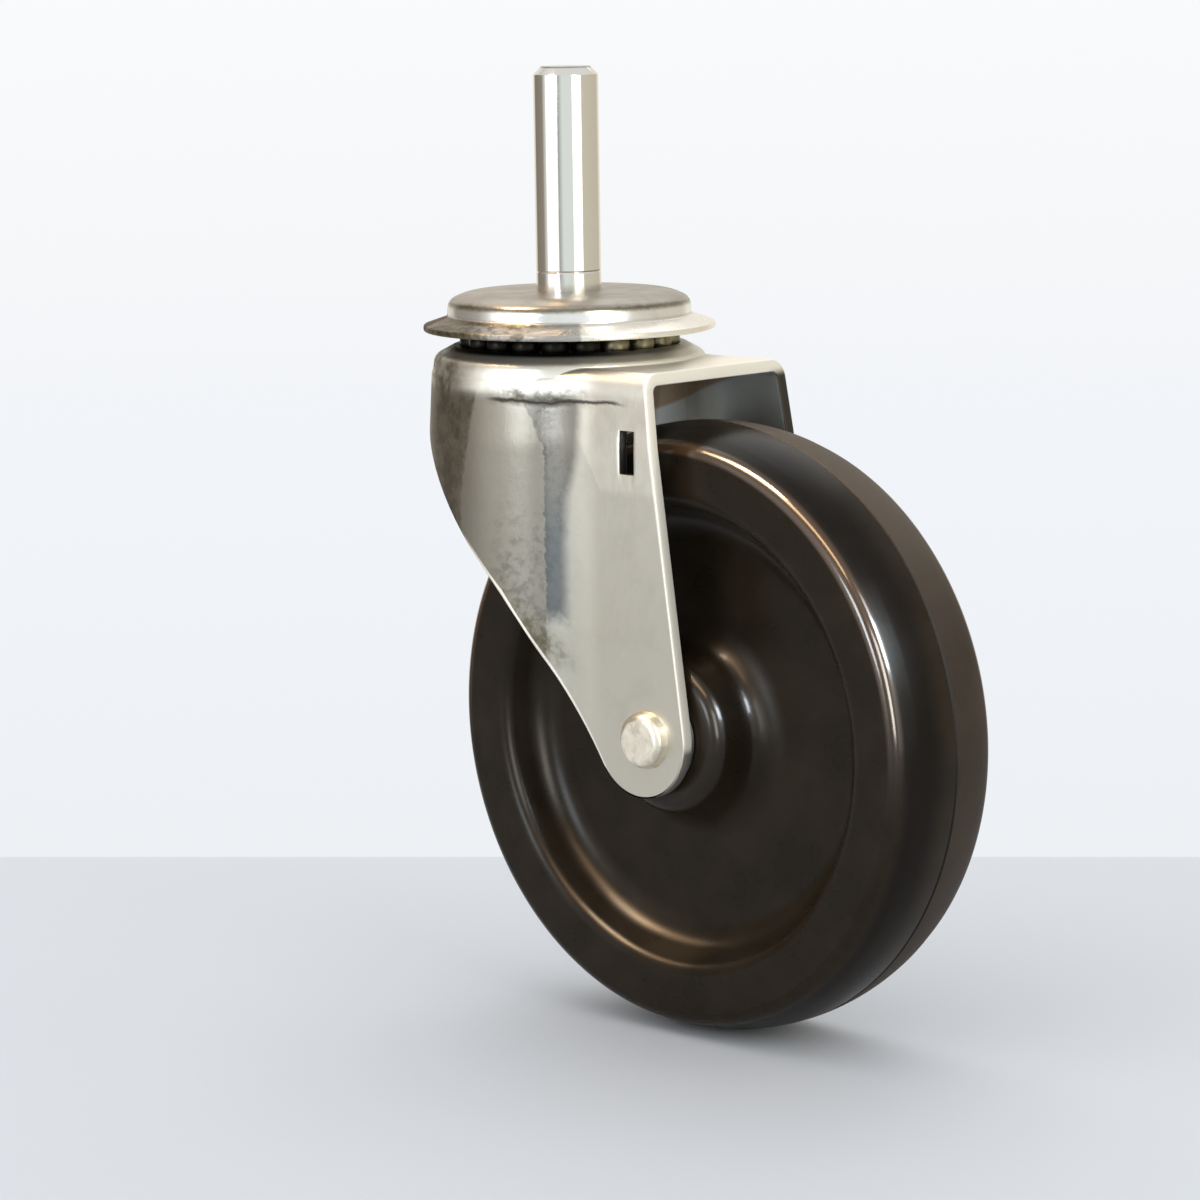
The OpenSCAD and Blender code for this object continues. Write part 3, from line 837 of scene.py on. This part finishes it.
def cap_outline(s):
    """Half section of the cap's sheet, as (radius, height): flat top, round
    shoulder and a rim that slopes out and down."""
    dome_r, cap_r, t = s["dome_d"] / 2, s["cap_d"] / 2, s["cap_t"]
    hole_r, foot_z, slope = 4.55, -4.2, math.radians(15)
    crown_w, shoulder_z, foot_round, tip_round = 3.4, -1.5, 0.7, 0.25 * t
    inner_r = dome_r - t
    tip = foot_z - (cap_r - dome_r) * math.tan(slope)
    deep = t / math.cos(slope)
    under_foot = foot_z - deep + t * math.tan(slope)
    outside = [(hole_r, 0, 0), (dome_r - crown_w, -0.1, 7.0), (dome_r, shoulder_z, 3.0)]
    outside += [(dome_r, foot_z, foot_round), (cap_r, tip - 0.3, tip_round)]
    inside = [(cap_r, tip - 0.9 * deep, tip_round), (inner_r, under_foot, foot_round + t)]
    inside += [(inner_r, -t, 3.6 - t), (hole_r, -t, 0)]
    return rounded(outside + inside)


def wheel_outline(s):
    """Half section of the wheel about the axle, as (radius, distance along
    the axle): hub boss, dished side, rim corner and crowned tread."""
    r, half = s["wheel_d"] / 2, s["tread_w"] / 2
    dish_r, hub_r = s["dish_d"] / 2, s["hub_d"] / 2
    bore_r, hub_half, web_half, parting = 6.36, 14.5, 4.5, 0.3
    crown_r, crown_half, crown_round = 26.5, 8.25, 2.5
    hub_taper, dish_slope, root_round, edge_round = 0.8, 3.2, 7.0, 3.0
    crown_c = r - crown_r
    edge = crown_c + math.sqrt(crown_r**2 - half**2)
    start = math.degrees(math.asin(crown_half / crown_r))
    crown = arc((crown_c, 0), crown_r, start, 0.65, 1.5)
    side = [(bore_r, hub_half, 0), (hub_r - hub_taper, hub_half, edge_round)]
    side += [(hub_r + hub_taper, web_half, root_round)]
    side += [(dish_r - dish_slope, web_half, root_round)]
    side += [(dish_r, half, edge_round), (edge, half, crown_round)]
    side += [(*p, 0) for p in crown] + [(r - parting, 0, 0)]
    other = [(x, -y, round_r) for x, y, round_r in side[-2::-1]]
    return rounded(side + other)


def rivet_outline(s):
    """Half section of the axle rivet, as (radius, distance along the axle):
    a formed head over the right leg and a ready made one on the left."""
    leg, shank_r = s["leg_gap"] / 2 + s["sheet_t"], 3.2
    formed, formed_r, formed_top_r = leg + 2.2, 4.8, 4.32
    made, made_r, made_top_r = leg + 2.4, 6.0, 5.4
    right = [(0, -formed, 0), (formed_top_r, -formed, 1.5), (formed_r, -leg, 0)]
    left = [(made_r, leg, 0), (made_top_r, made, 1.9), (0, made, 0)]
    return rounded([*right, (shank_r, -leg, 0), (shank_r, leg, 0), *left])


def ball_row(circle_r, height, ball_d, count, rings=17, sides=24):
    """A row of balls: each is centre + r (sin p cos a, sin p sin a, cos p)
    over a grid of p and a."""
    p = np.linspace(0, math.pi, rings)[:, None]
    a = np.linspace(0, 2 * math.pi, sides, endpoint=False)
    axes = [np.sin(p) * np.cos(a), np.sin(p) * np.sin(a), np.cos(p) + 0 * a]
    ball = ball_d / 2 * np.stack(axes, axis=-1)
    turn = 2 * math.pi * np.arange(1, count + 1) / count
    axes = [circle_r * np.cos(turn), circle_r * np.sin(turn), 0 * turn + height]
    grid = cells(rings, sides, wrap_columns=True)
    return joined(*((ball + centre, grid) for centre in np.stack(axes, axis=-1)))


class ForkShape:
    """The pressed fork as two skins over one grid.  Its plan is a straight
    leg, a hollow sweep and a round head; a station is the distance along the
    outer wall back from where the leg ends.  The right leg has the slot.
    Below the bend the wall leans in, and at the lip its rear edge starts to
    cut forwards to the waist, where it turns down to the leg's round end."""

    SWEEP_R = 20.0
    TOP_Z, FRONT_X, HOLE_R = -11.1, 33.2, 6.6
    LEAN_H, LEAN = 9.0, 0.5
    LIP_Z, WAIST, WAIST_R = -15.8, (5.6, -48.2), 60.0
    SLOT = (28.05, 31.15, -20.5, -27.5)
    LEG_END_R, LEG_END_BACK, LOWEST = 9.9, 1.5, 89.0
    RING_FOOT, RING_SINK, RING_TURN = -12.7, 1.8, 0.12
    SOFT = 0.28

    def __init__(self, s):
        self.t = s["sheet_t"]
        self.bend_r = s["bend_r"]
        self.head_r = s["head_d"] / 2
        self.leg_out = s["leg_gap"] / 2 + self.t
        self.sweep_y = self.leg_out + self.SWEEP_R
        self.sweep_x = math.sqrt((self.head_r + self.SWEEP_R) ** 2 - self.sweep_y**2)
        self.turn = math.atan2(self.sweep_y, self.sweep_x)
        self.sweep_len = self.SWEEP_R * (math.pi / 2 - self.turn)
        self.full_len = self.sweep_len + self.head_r * (math.pi - self.turn)
        self.find_side()

    def find_side(self):
        """The side view's front and rear edges as tables of x over z."""
        end = np.array([AXLE_X - self.LEG_END_BACK, AXLE_Z])
        front = np.array([self.FRONT_X, self.TOP_Z])
        waist = np.array(self.WAIST)
        lip = np.array([-self.head_r, self.LIP_Z])
        r = self.LEG_END_R

        def touch(p, side):
            """The angle at which a line from p touches the leg's round end."""
            gap = p - end
            away = math.degrees(math.atan2(gap[1], gap[0]))
            return away + side * math.degrees(math.acos(r / np.linalg.norm(gap)))

        front_arc = arc(end, r, -self.LOWEST, touch(front, -1), 3.0)
        rear_arc = arc(end, r, self.LOWEST - 180, touch(waist, 1) - 360, 3.0)
        bend = corner(rear_arc[-1], waist, lip, self.WAIST_R)
        self.front_edge = np.concatenate([front_arc, [front]])
        self.rear_edge = np.concatenate([rear_arc, bend, [lip]])
        self.arc_z = rear_arc[-1][1]

    def plan_point(self, station, inset):
        """x and y on the -Y side of the wall moved in by inset: the leg's
        line, then the sweep's circle, then the head's circle."""
        sweep = math.pi / 2 + np.clip(station, 0, self.sweep_len) / self.SWEEP_R
        head = self.turn + np.maximum(station - self.sweep_len, 0) / self.head_r
        in_leg, in_sweep = station <= 0, station <= self.sweep_len
        sweep_x = self.sweep_x + (self.SWEEP_R + inset) * np.cos(sweep)
        sweep_y = -self.sweep_y + (self.SWEEP_R + inset) * np.sin(sweep)
        head_x = (self.head_r - inset) * np.cos(head)
        head_y = -(self.head_r - inset) * np.sin(head)
        x = np.where(in_leg, self.sweep_x - station, np.where(in_sweep, sweep_x, head_x))
        y = np.where(in_leg, inset - self.leg_out, np.where(in_sweep, sweep_y, head_y))
        return x, y

    def station_of(self, x):
        """The station at which the outer wall has this x, from a table that
        starts well forward of the leg's front edge."""
        table = np.linspace(-40, self.full_len, 1200)
        return np.interp(-x, -self.plan_point(table, 0 * table)[0], table)

    def rows(self):
        """Heights and insets of the grid's rows on both skins: the bend's
        quarter circle, then the leaning wall and the straight one."""
        a = np.radians(np.linspace(0, 90, 10))
        below = self.TOP_Z - self.bend_r
        slot_top, slot_low = self.SLOT[2:]
        near_lip = self.LIP_Z - (self.LIP_Z - slot_top) * np.linspace(0, 1, 13)[1:] ** 2
        end = np.linspace(0, 1, 16)[1:]
        angle = math.asin((AXLE_Z - self.arc_z) / self.LEG_END_R)
        angle = angle + end * (math.radians(self.LOWEST) - angle)
        z = np.concatenate(
            [
                np.linspace(below, self.LIP_Z, 4)[1:],
                near_lip,
                np.linspace(slot_top, slot_low, 7)[1:],
                np.linspace(slot_low, self.arc_z, 26)[1:],
                AXLE_Z - self.LEG_END_R * np.sin(angle),
            ]
        )
        inset = self.LEAN * np.clip(1 - (below - z) / self.LEAN_H, 0, 1)
        skins = []
        for deep in (0.0, self.t):
            r = self.bend_r - deep
            bend_z = self.TOP_Z - deep - r * (1 - np.cos(a))
            bend_inset = deep + self.LEAN + r * (1 - np.sin(a))
            rows = ((bend_z, z), (bend_inset, inset + deep))
            skins.append(tuple(np.concatenate(parts) for parts in rows))
        return skins

    def side_grid(self, z, inset):
        """Points of one skin on the -Y side, row by row from the front edge
        back to the rear edge, with columns held at the slot's sides."""
        front = self.sweep_x - np.interp(z, *self.front_edge.T[::-1])
        rear_x = np.interp(z, *self.rear_edge.T[::-1])
        rear = np.where(z >= self.LIP_Z, self.full_len, self.station_of(rear_x))
        slot_low = self.SLOT[3]
        row = np.argmin(abs(z - slot_low))
        stops = [front]
        for x in (self.SLOT[1], self.SLOT[0]):
            share = (self.sweep_x - x - front[row]) / (rear[row] - front[row])
            held = self.sweep_x - x + 0 * z
            free = front + share * (rear - front)
            stops.append(np.where(z < slot_low - 1e-6, free, held))
        stops.append(rear)
        parts = [
            np.linspace(start, stop, count, endpoint=False, axis=1)
            for start, stop, count in zip(stops, stops[1:], (6, 4, 64))
        ]
        station = np.concatenate([*parts, rear[:, None]], axis=1)
        x, y = self.plan_point(station, inset[:, None])
        return np.stack([x, y, z[:, None] + 0 * x], axis=-1)

    def top_grid(self, wall_row):
        """The flat top between the bend and the hole: straight lines from
        the bend's upper edge to the circle at the same angle."""
        mirrored = wall_row * [1, -1, 1]
        share = np.linspace(0, 1, 18)[1:-1, None]
        front = wall_row[0] + share * (mirrored[0] - wall_row[0])
        loop = np.concatenate([wall_row[::-1], front, mirrored[:-1]])
        angle = np.arctan2(loop[:, 1], loop[:, 0])
        axes = [self.HOLE_R * np.cos(angle), self.HOLE_R * np.sin(angle), loop[:, 2]]
        hole = np.stack(axes, axis=-1)
        share = np.linspace(0, 1, 14)[:, None, None]
        return loop + share * (hole - loop)

    def shell(self):
        """The whole sheet: both sides and the top on each skin."""
        skins = []
        for z, inset in self.rows():
            wall = self.side_grid(z, inset)
            skins.append((wall, wall * [1, -1, 1], self.top_grid(wall[0])))
        wall, _, top = skins[0]
        whole = cells(*wall.shape[:2])
        middle = wall.reshape(-1, 3)[whole].mean(axis=1)
        x0, x1, z1, z0 = self.SLOT
        in_slot = (middle[:, 0] > x0) & (middle[:, 0] < x1)
        in_slot &= (middle[:, 2] > z0) & (middle[:, 2] < z1)
        slotted = whole[~in_slot]
        top_cells = cells(*top.shape[:2], wrap_columns=True)
        outer, inner = (
            joined((w, slotted), (m, whole[:, ::-1]), (p, top_cells)) for w, m, p in skins
        )
        return sheet_shell(outer[0], inner[0], outer[1], self.SOFT)

    def ring(self):
        """The raised ring that carries the balls, turned about the stem.  Its
        foot sinks into the round wall behind, and in front, where only the
        flat top is under it, stays inside the sheet."""
        groove_r, groove_start, groove_end = 2.48, -149, -19
        crest, skirt, skirt_low = (19.7, -9.0), (22.85, -10.7), (23.38, -13.4)
        outline = np.concatenate(
            [
                [(self.HOLE_R, -12.0), (self.HOLE_R, -10.9), (11.9, -10.9), (13.0, -9.5)],
                arc((UPPER_ROW_R, UPPER_ROW_Z), groove_r, groove_start, groove_end, 8),
                corner((18.6, -9.0), crest, skirt, 0.7),
                corner(crest, skirt, skirt_low, 1.8),
                [(23.42, -14.3), (22.6, -14.4), (21.0, -12.4)],
            ]
        )
        points, faces = turned(outline, closed=True)
        angle = np.abs(np.arctan2(points[..., 1], points[..., 0]))
        behind = np.clip((angle - self.turn) / self.RING_TURN, 0, 1)
        foot = self.RING_FOOT - self.RING_SINK * behind
        points[..., 2] = np.maximum(points[..., 2], foot)
        return points, faces

    def whole(self):
        """The sheet with the ring on it."""
        return joined(self.shell(), self.ring())


# Operators


class CastorOperator(bpy.types.Operator):
    """Base of the castor's operators: gives the sizes and colours."""

    bl_options = {"REGISTER", "UNDO"}

    @property
    def sizes(self):
        """Every size in millimetres, by name."""
        group = bpy.context.scene.castor_sizes
        return {name: getattr(group, name) / MM for name in group.__annotations__}

    @property
    def colours(self):
        """The group of colours."""
        return bpy.context.scene.castor_colours


class CASTOR_OT_stem(CastorOperator):
    """Makes the plain round stem in polished plating"""

    bl_idname = "castor.stem"
    bl_label = "Stem"

    def execute(self, context):
        shape = turned(stem_outline(self.sizes))
        piece("stem_shaft", "head", shape, ["stem"], chrome(self.colours))
        return {"FINISHED"}


class CASTOR_OT_cap(CastorOperator):
    """Makes the pressed cap of the ball head"""

    bl_idname = "castor.cap"
    bl_label = "Cap"

    def execute(self, context):
        shape = turned(cap_outline(self.sizes), closed=True)
        finish = cap_plating(self.colours)
        piece("cap_pressing", "head", shape, ["top_cap"], finish)
        return {"FINISHED"}


class CASTOR_OT_balls(CastorOperator):
    """Makes the two rows of balls"""

    bl_idname = "castor.balls"
    bl_label = "Ball rows"

    def execute(self, context):
        finish = greasy_shaded_balls()
        low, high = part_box(LOWER_BALLS[0])
        lower_z = (low.z + high.z) / 2 / MM
        upper = ball_row(UPPER_ROW_R, UPPER_ROW_Z, UPPER_BALL_D, len(UPPER_BALLS))
        lower = ball_row(LOWER_ROW_R, lower_z, LOWER_BALL_D, len(LOWER_BALLS))
        piece("upper_balls", "upper_balls", upper, UPPER_BALLS, finish)
        piece("lower_balls", "lower_balls", lower, LOWER_BALLS, finish)
        return {"FINISHED"}


class CASTOR_OT_fork(CastorOperator):
    """Makes the pressed fork with its raised ball ring"""

    bl_idname = "castor.fork"
    bl_label = "Fork"

    def execute(self, context):
        shape = ForkShape(self.sizes).whole()
        finish = ForkZinc(self.colours).finish()
        piece("fork_pressing", "fork", shape, ["yoke"], finish)
        return {"FINISHED"}


class CASTOR_OT_wheel(CastorOperator):
    """Makes the moulded wheel"""

    bl_idname = "castor.wheel"
    bl_label = "Wheel"

    def execute(self, context):
        shape = on_axle(turned(wheel_outline(self.sizes), closed=True, segments=288))
        finish = moulded_wheel(self.colours)
        nodes, slot = ["wheel"], "wheel_rubber"
        wheel = piece("wheel_moulding", "rolling_wheel", shape, nodes, finish)
        wheel_gloss().objects.link(wheel)
        return {"FINISHED"}


class CASTOR_OT_axle(CastorOperator):
    """Makes the axle rivet with its two heads"""

    bl_idname = "castor.axle"
    bl_label = "Axle rivet"

    def execute(self, context):
        shape = on_axle(turned(rivet_outline(self.sizes), segments=96))
        finish = hammered_steel(self.colours)
        piece("axle_heads", "fork", shape, ["axle_rivet"], finish)
        return {"FINISHED"}


class CASTOR_OT_fittings(CastorOperator):
    """Gives the inner rings, washers, bush and spacer their steel"""

    bl_idname = "castor.fittings"
    bl_label = "Inner fittings"

    def execute(self, context):
        dark = plain_steel("race_dark_steel", (0.16, 0.15, 0.14), 0.32, (1, 1, 8))
        bright = plain_steel("washer_zinc", (0.60, 0.59, 0.56), 0.30, (1, 1, 1))
        bush = plain_steel("bush_sintered", (0.36, 0.33, 0.29), 0.45, (1, 8, 1))
        finishes = {"upper_race": dark, "lower_race": dark, "hub_bush": bush}
        plated = ("king_washer", "spacer_tube", "left_washer", "right_washer")
        finishes.update(dict.fromkeys(plated, bright))
        for node, finish in finishes.items():
            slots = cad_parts[node].material_slots
            if not slots:
                raise RuntimeError(f"CAD node {node} has no material slot")
            for slot in slots:
                slot.material = finish
        return {"FINISHED"}


# Studio


class View:
    """The photograph's viewpoint, in degrees, millimetres and pixels: a
    pixel's ray leaves place against back, turned by the pixel's offset from
    the middle along right and up."""

    azimuth, elevation, roll = 44.0, 8.73, -0.85
    distance = 703.94
    focal_px = 4154.25
    middle_px = (608.1, 585.69)
    target = Vector((8.16, 0.0, -49.89))

    def __init__(self):
        turn, tilt = math.radians(self.azimuth), math.radians(self.roll)
        self.back = self.toward(0, self.elevation)
        right = Vector((math.cos(turn), math.sin(turn), 0))
        up = self.back.cross(right)
        self.right = right * math.cos(tilt) + up * math.sin(tilt)
        self.up = up * math.cos(tilt) - right * math.sin(tilt)
        self.place = self.target + self.back * self.distance

    def toward(self, azimuth, elevation):
        """The direction this many degrees right of the camera and up."""
        a, e = math.radians(self.azimuth + azimuth), math.radians(elevation)
        flat = math.cos(e)
        return Vector((math.sin(a) * flat, -math.cos(a) * flat, math.sin(e)))

    def on_floor(self, px, py):
        """The point of the floor that this pixel shows."""
        across = (px - self.middle_px[0]) / self.focal_px
        down = (py - self.middle_px[1]) / self.focal_px
        ray = self.right * across - self.up * down - self.back
        return self.place + ray * ((FLOOR_Z - self.place.z) / ray.z)


WHITE, PALE = (1.0, 1.0, 0.98), (1.0, 0.94, 0.86)
WARM, AMBER = (1.0, 0.66, 0.36), (1.0, 0.63, 0.33)
TAN, COOL = (1.0, 0.76, 0.52), (0.82, 0.92, 1.0)

# Each lamp's name, its place in degrees right of the camera and up, its width
# and height in degrees, its radiance and its colour.
SOFTBOXES = (
    ("left_softbox", (-55, 10), (46, 48), 0.85, WHITE),
    ("right_softbox", (38, 12), (34, 50), 1.3, WHITE),
    ("back_softbox", (178, 52), (50, 34), 1.0, WHITE),
)
GLINTS = (
    ("high_glint", (-83, 60), (12, 14), 42, WARM),
    ("left_glint", (-40, 11), (12, 16), 16, COOL),
    ("right_glint", (32, 34), (14, 20), 12, PALE),
)
WHEEL_GLINTS = (
    ("arch_glint", (-62, 58), (74, 13), 17, AMBER),
    ("tan_glint", (-64, 65), (18, 14), 66, TAN),
    ("front_glint", (0, 11), (15, 28), 17, PALE),
    ("hub_glint", (36, 28), (18, 16), 55, COOL),
)


def wheel_gloss():
    """The collection that the wheel's own glints light."""
    name = "wheel_gloss"
    return bpy.data.collections.get(name) or bpy.data.collections.new(name)


def softbox(view, name, place, span, radiance, shade, glint=False, only=None):
    """A flat area lamp that faces the castor from LAMP_AWAY metres.  Its power
    is pi times radiance and area.  A glint shows in gloss alone, and only is
    the collection that the lamp lights, if not everything."""
    direction = view.toward(*place)
    lamp = bpy.data.lights.new(name, "AREA")
    lamp.shape = "RECTANGLE"
    sides = (2 * LAMP_AWAY * math.tan(math.radians(s / 2)) for s in span)
    lamp.size, lamp.size_y = sides
    lamp.energy = math.pi * radiance * lamp.size * lamp.size_y
    lamp.color = shade
    made = bpy.data.objects.new(name, lamp)
    turn = direction.to_track_quat("Z", "Y").to_matrix().to_4x4()
    centre = view.target * MM + direction * LAMP_AWAY
    made.matrix_world = Matrix.Translation(centre) @ turn
    made.visible_camera = False
    made.visible_diffuse = not glint
    if only:
        made.light_linking.receiver_collection = only
    bpy.context.scene.collection.objects.link(made)


def studio_world(view):
    """Pale backdrop with the studio's darker walls round it: brown-grey on
    the back left, beige on the right and pale blue in front.  The camera's
    own rays meet only the backdrop's even fade from blue-white to white."""
    world = bpy.data.worlds.new("studio")
    world.use_nodes = True
    bpy.context.scene.world = world
    f = Finish(world.node_tree, "Generated", unit=1)
    azimuth = math.radians(view.azimuth)
    front = f.x * math.sin(azimuth) - f.y * math.cos(azimuth)
    right = f.x * math.cos(azimuth) + f.y * math.sin(azimuth)
    turn = f.math("ARCTAN2", right, front)
    fade = f.node("MapRange", None, {0: f.z, 1: -0.212, 2: -0.014})
    fades = [
        (0.0, (0.847, 0.877, 0.905)),
        (0.46, (0.880, 0.905, 0.947)),
        (0.70, (0.922, 0.930, 0.947)),
        (1.0, (0.950, 0.955, 0.972)),
    ]
    backdrop = f.node("ValToRGB", {"stops": fades}, {0: fade})
    sides = [
        (0.0, (0.92, 0.88, 0.80)),
        (0.09, (0.88, 0.83, 0.74)),
        (0.12, (0.24, 0.20, 0.165)),
        (0.24, (0.30, 0.265, 0.22)),
        (0.27, (0.70, 0.69, 0.66)),
        (0.42, (0.40, 0.41, 0.41)),
        (0.46, (0.80, 0.85, 0.84)),
        (0.54, (0.80, 0.85, 0.84)),
        (0.62, (0.66, 0.62, 0.52)),
        (0.88, (0.60, 0.54, 0.44)),
        (0.91, (0.88, 0.83, 0.74)),
        (1.0, (0.92, 0.88, 0.80)),
    ]
    ceiling = (0.80, 0.80, 0.80)
    walls = f.node("ValToRGB", {"stops": sides}, {0: turn / (2 * math.pi) + 0.5})
    walls = f.mix(walls, ceiling, f.step(f.z, 0.25, 0.8))
    camera_ray = f.node("LightPath", out="Is Camera Ray")
    light = f.node("Background", None, {0: f.mix(walls, backdrop, camera_ray)})
    f.node("OutputWorld", None, {"Surface": light}, None)


def studio_floor(view, shade):
    """A pale floor whose far edge is the straight line in which the photo's
    floor ends.  It reaches half a metre to each side of the middle."""
    horizon_px, half_width, depth = 857, 500, 620
    left, right = (view.on_floor(px, horizon_px) for px in (0, IMAGE_PX))
    along = (right - left).normalized()
    middle = (left + right) / 2
    towards = along.cross(Vector((0, 0, 1)))
    corners = [
        middle + along * side * half_width + towards * forward
        for side, forward in ((-1, 0), (1, 0), (1, depth), (-1, depth))
    ]
    mesh = bpy.data.meshes.new("floor")
    mesh.from_pydata([c * MM for c in corners], [], [(0, 3, 2, 1)])
    made = bpy.data.objects.new("floor", mesh)
    bpy.context.scene.collection.objects.link(made)
    material, f = new_finish("floor_paper")
    f.surface(
        Base_Color=f.mix(shade, tuple(c * 0.97 for c in shade), f.noise(9, 3, 0.5)),
        Roughness=0.75,
        Specular_IOR_Level=0.2,
        Normal=f.bump(f.noise(2500, 3, 0.6), 0.01),
    )
    mesh.materials.append(material)


class CASTOR_OT_studio(CastorOperator):
    """Sets the camera, the pale floor, the backdrop and the soft lamps"""

    bl_idname = "castor.studio"
    bl_label = "Studio"

    def execute(self, context):
        view = View()
        scene = context.scene
        lens = bpy.data.cameras.new("camera")
        lens.sensor_width = SENSOR_MM
        lens.lens = view.focal_px * SENSOR_MM / IMAGE_PX
        lens.shift_x = 0.5 - view.middle_px[0] / IMAGE_PX
        lens.shift_y = view.middle_px[1] / IMAGE_PX - 0.5
        lens.clip_start = 0.01
        camera = bpy.data.objects.new("camera", lens)
        turn = Matrix((view.right, view.up, view.back)).transposed().to_4x4()
        camera.matrix_world = Matrix.Translation(view.place * MM) @ turn
        scene.collection.objects.link(camera)
        scene.camera = camera
        scene.view_settings.view_transform = "Standard"
        studio_world(view)
        studio_floor(view, tuple(self.colours.floor))
        for lamp in SOFTBOXES:
            softbox(view, *lamp)
        for lamp in GLINTS:
            softbox(view, *lamp, glint=True)
        for lamp in WHEEL_GLINTS:
            softbox(view, *lamp, glint=True, only=wheel_gloss())
        return {"FINISHED"}


class CASTOR_PT_panel(bpy.types.Panel):
    """Lists the castor's operators, sizes and colours"""

    bl_idname = "CASTOR_PT_panel"
    bl_label = "Stem castor"
    bl_space_type = "VIEW_3D"
    bl_region_type = "UI"
    bl_category = "Castor"

    def draw(self, context):
        layout = self.layout
        for operator in OPERATORS:
            layout.operator(operator.bl_idname)
        for group in (context.scene.castor_sizes, context.scene.castor_colours):
            box = layout.box()
            for name in group.__annotations__:
                box.prop(group, name)


OPERATORS = (
    CASTOR_OT_studio,
    CASTOR_OT_stem,
    CASTOR_OT_cap,
    CASTOR_OT_balls,
    CASTOR_OT_fork,
    CASTOR_OT_wheel,
    CASTOR_OT_axle,
    CASTOR_OT_fittings,
)
CLASSES = (CastorSizes, CastorColours, *OPERATORS, CASTOR_PT_panel)


def register():
    """Registers the classes and gives the scene its sizes and colours."""
    for kind in CLASSES:
        bpy.utils.register_class(kind)
    bpy.types.Scene.castor_sizes = PointerProperty(type=CastorSizes)
    bpy.types.Scene.castor_colours = PointerProperty(type=CastorColours)


def unregister():
    """Takes away what register gave."""
    del bpy.types.Scene.castor_colours
    del bpy.types.Scene.castor_sizes
    for kind in reversed(CLASSES):
        bpy.utils.unregister_class(kind)


def main():
    """Makes the studio and every piece."""
    register()
    bpy.ops.castor.studio()
    bpy.ops.castor.stem()
    bpy.ops.castor.cap()
    bpy.ops.castor.balls()
    bpy.ops.castor.fork()
    bpy.ops.castor.wheel()
    bpy.ops.castor.axle()
    bpy.ops.castor.fittings()


if __name__ == "__main__":
    main()
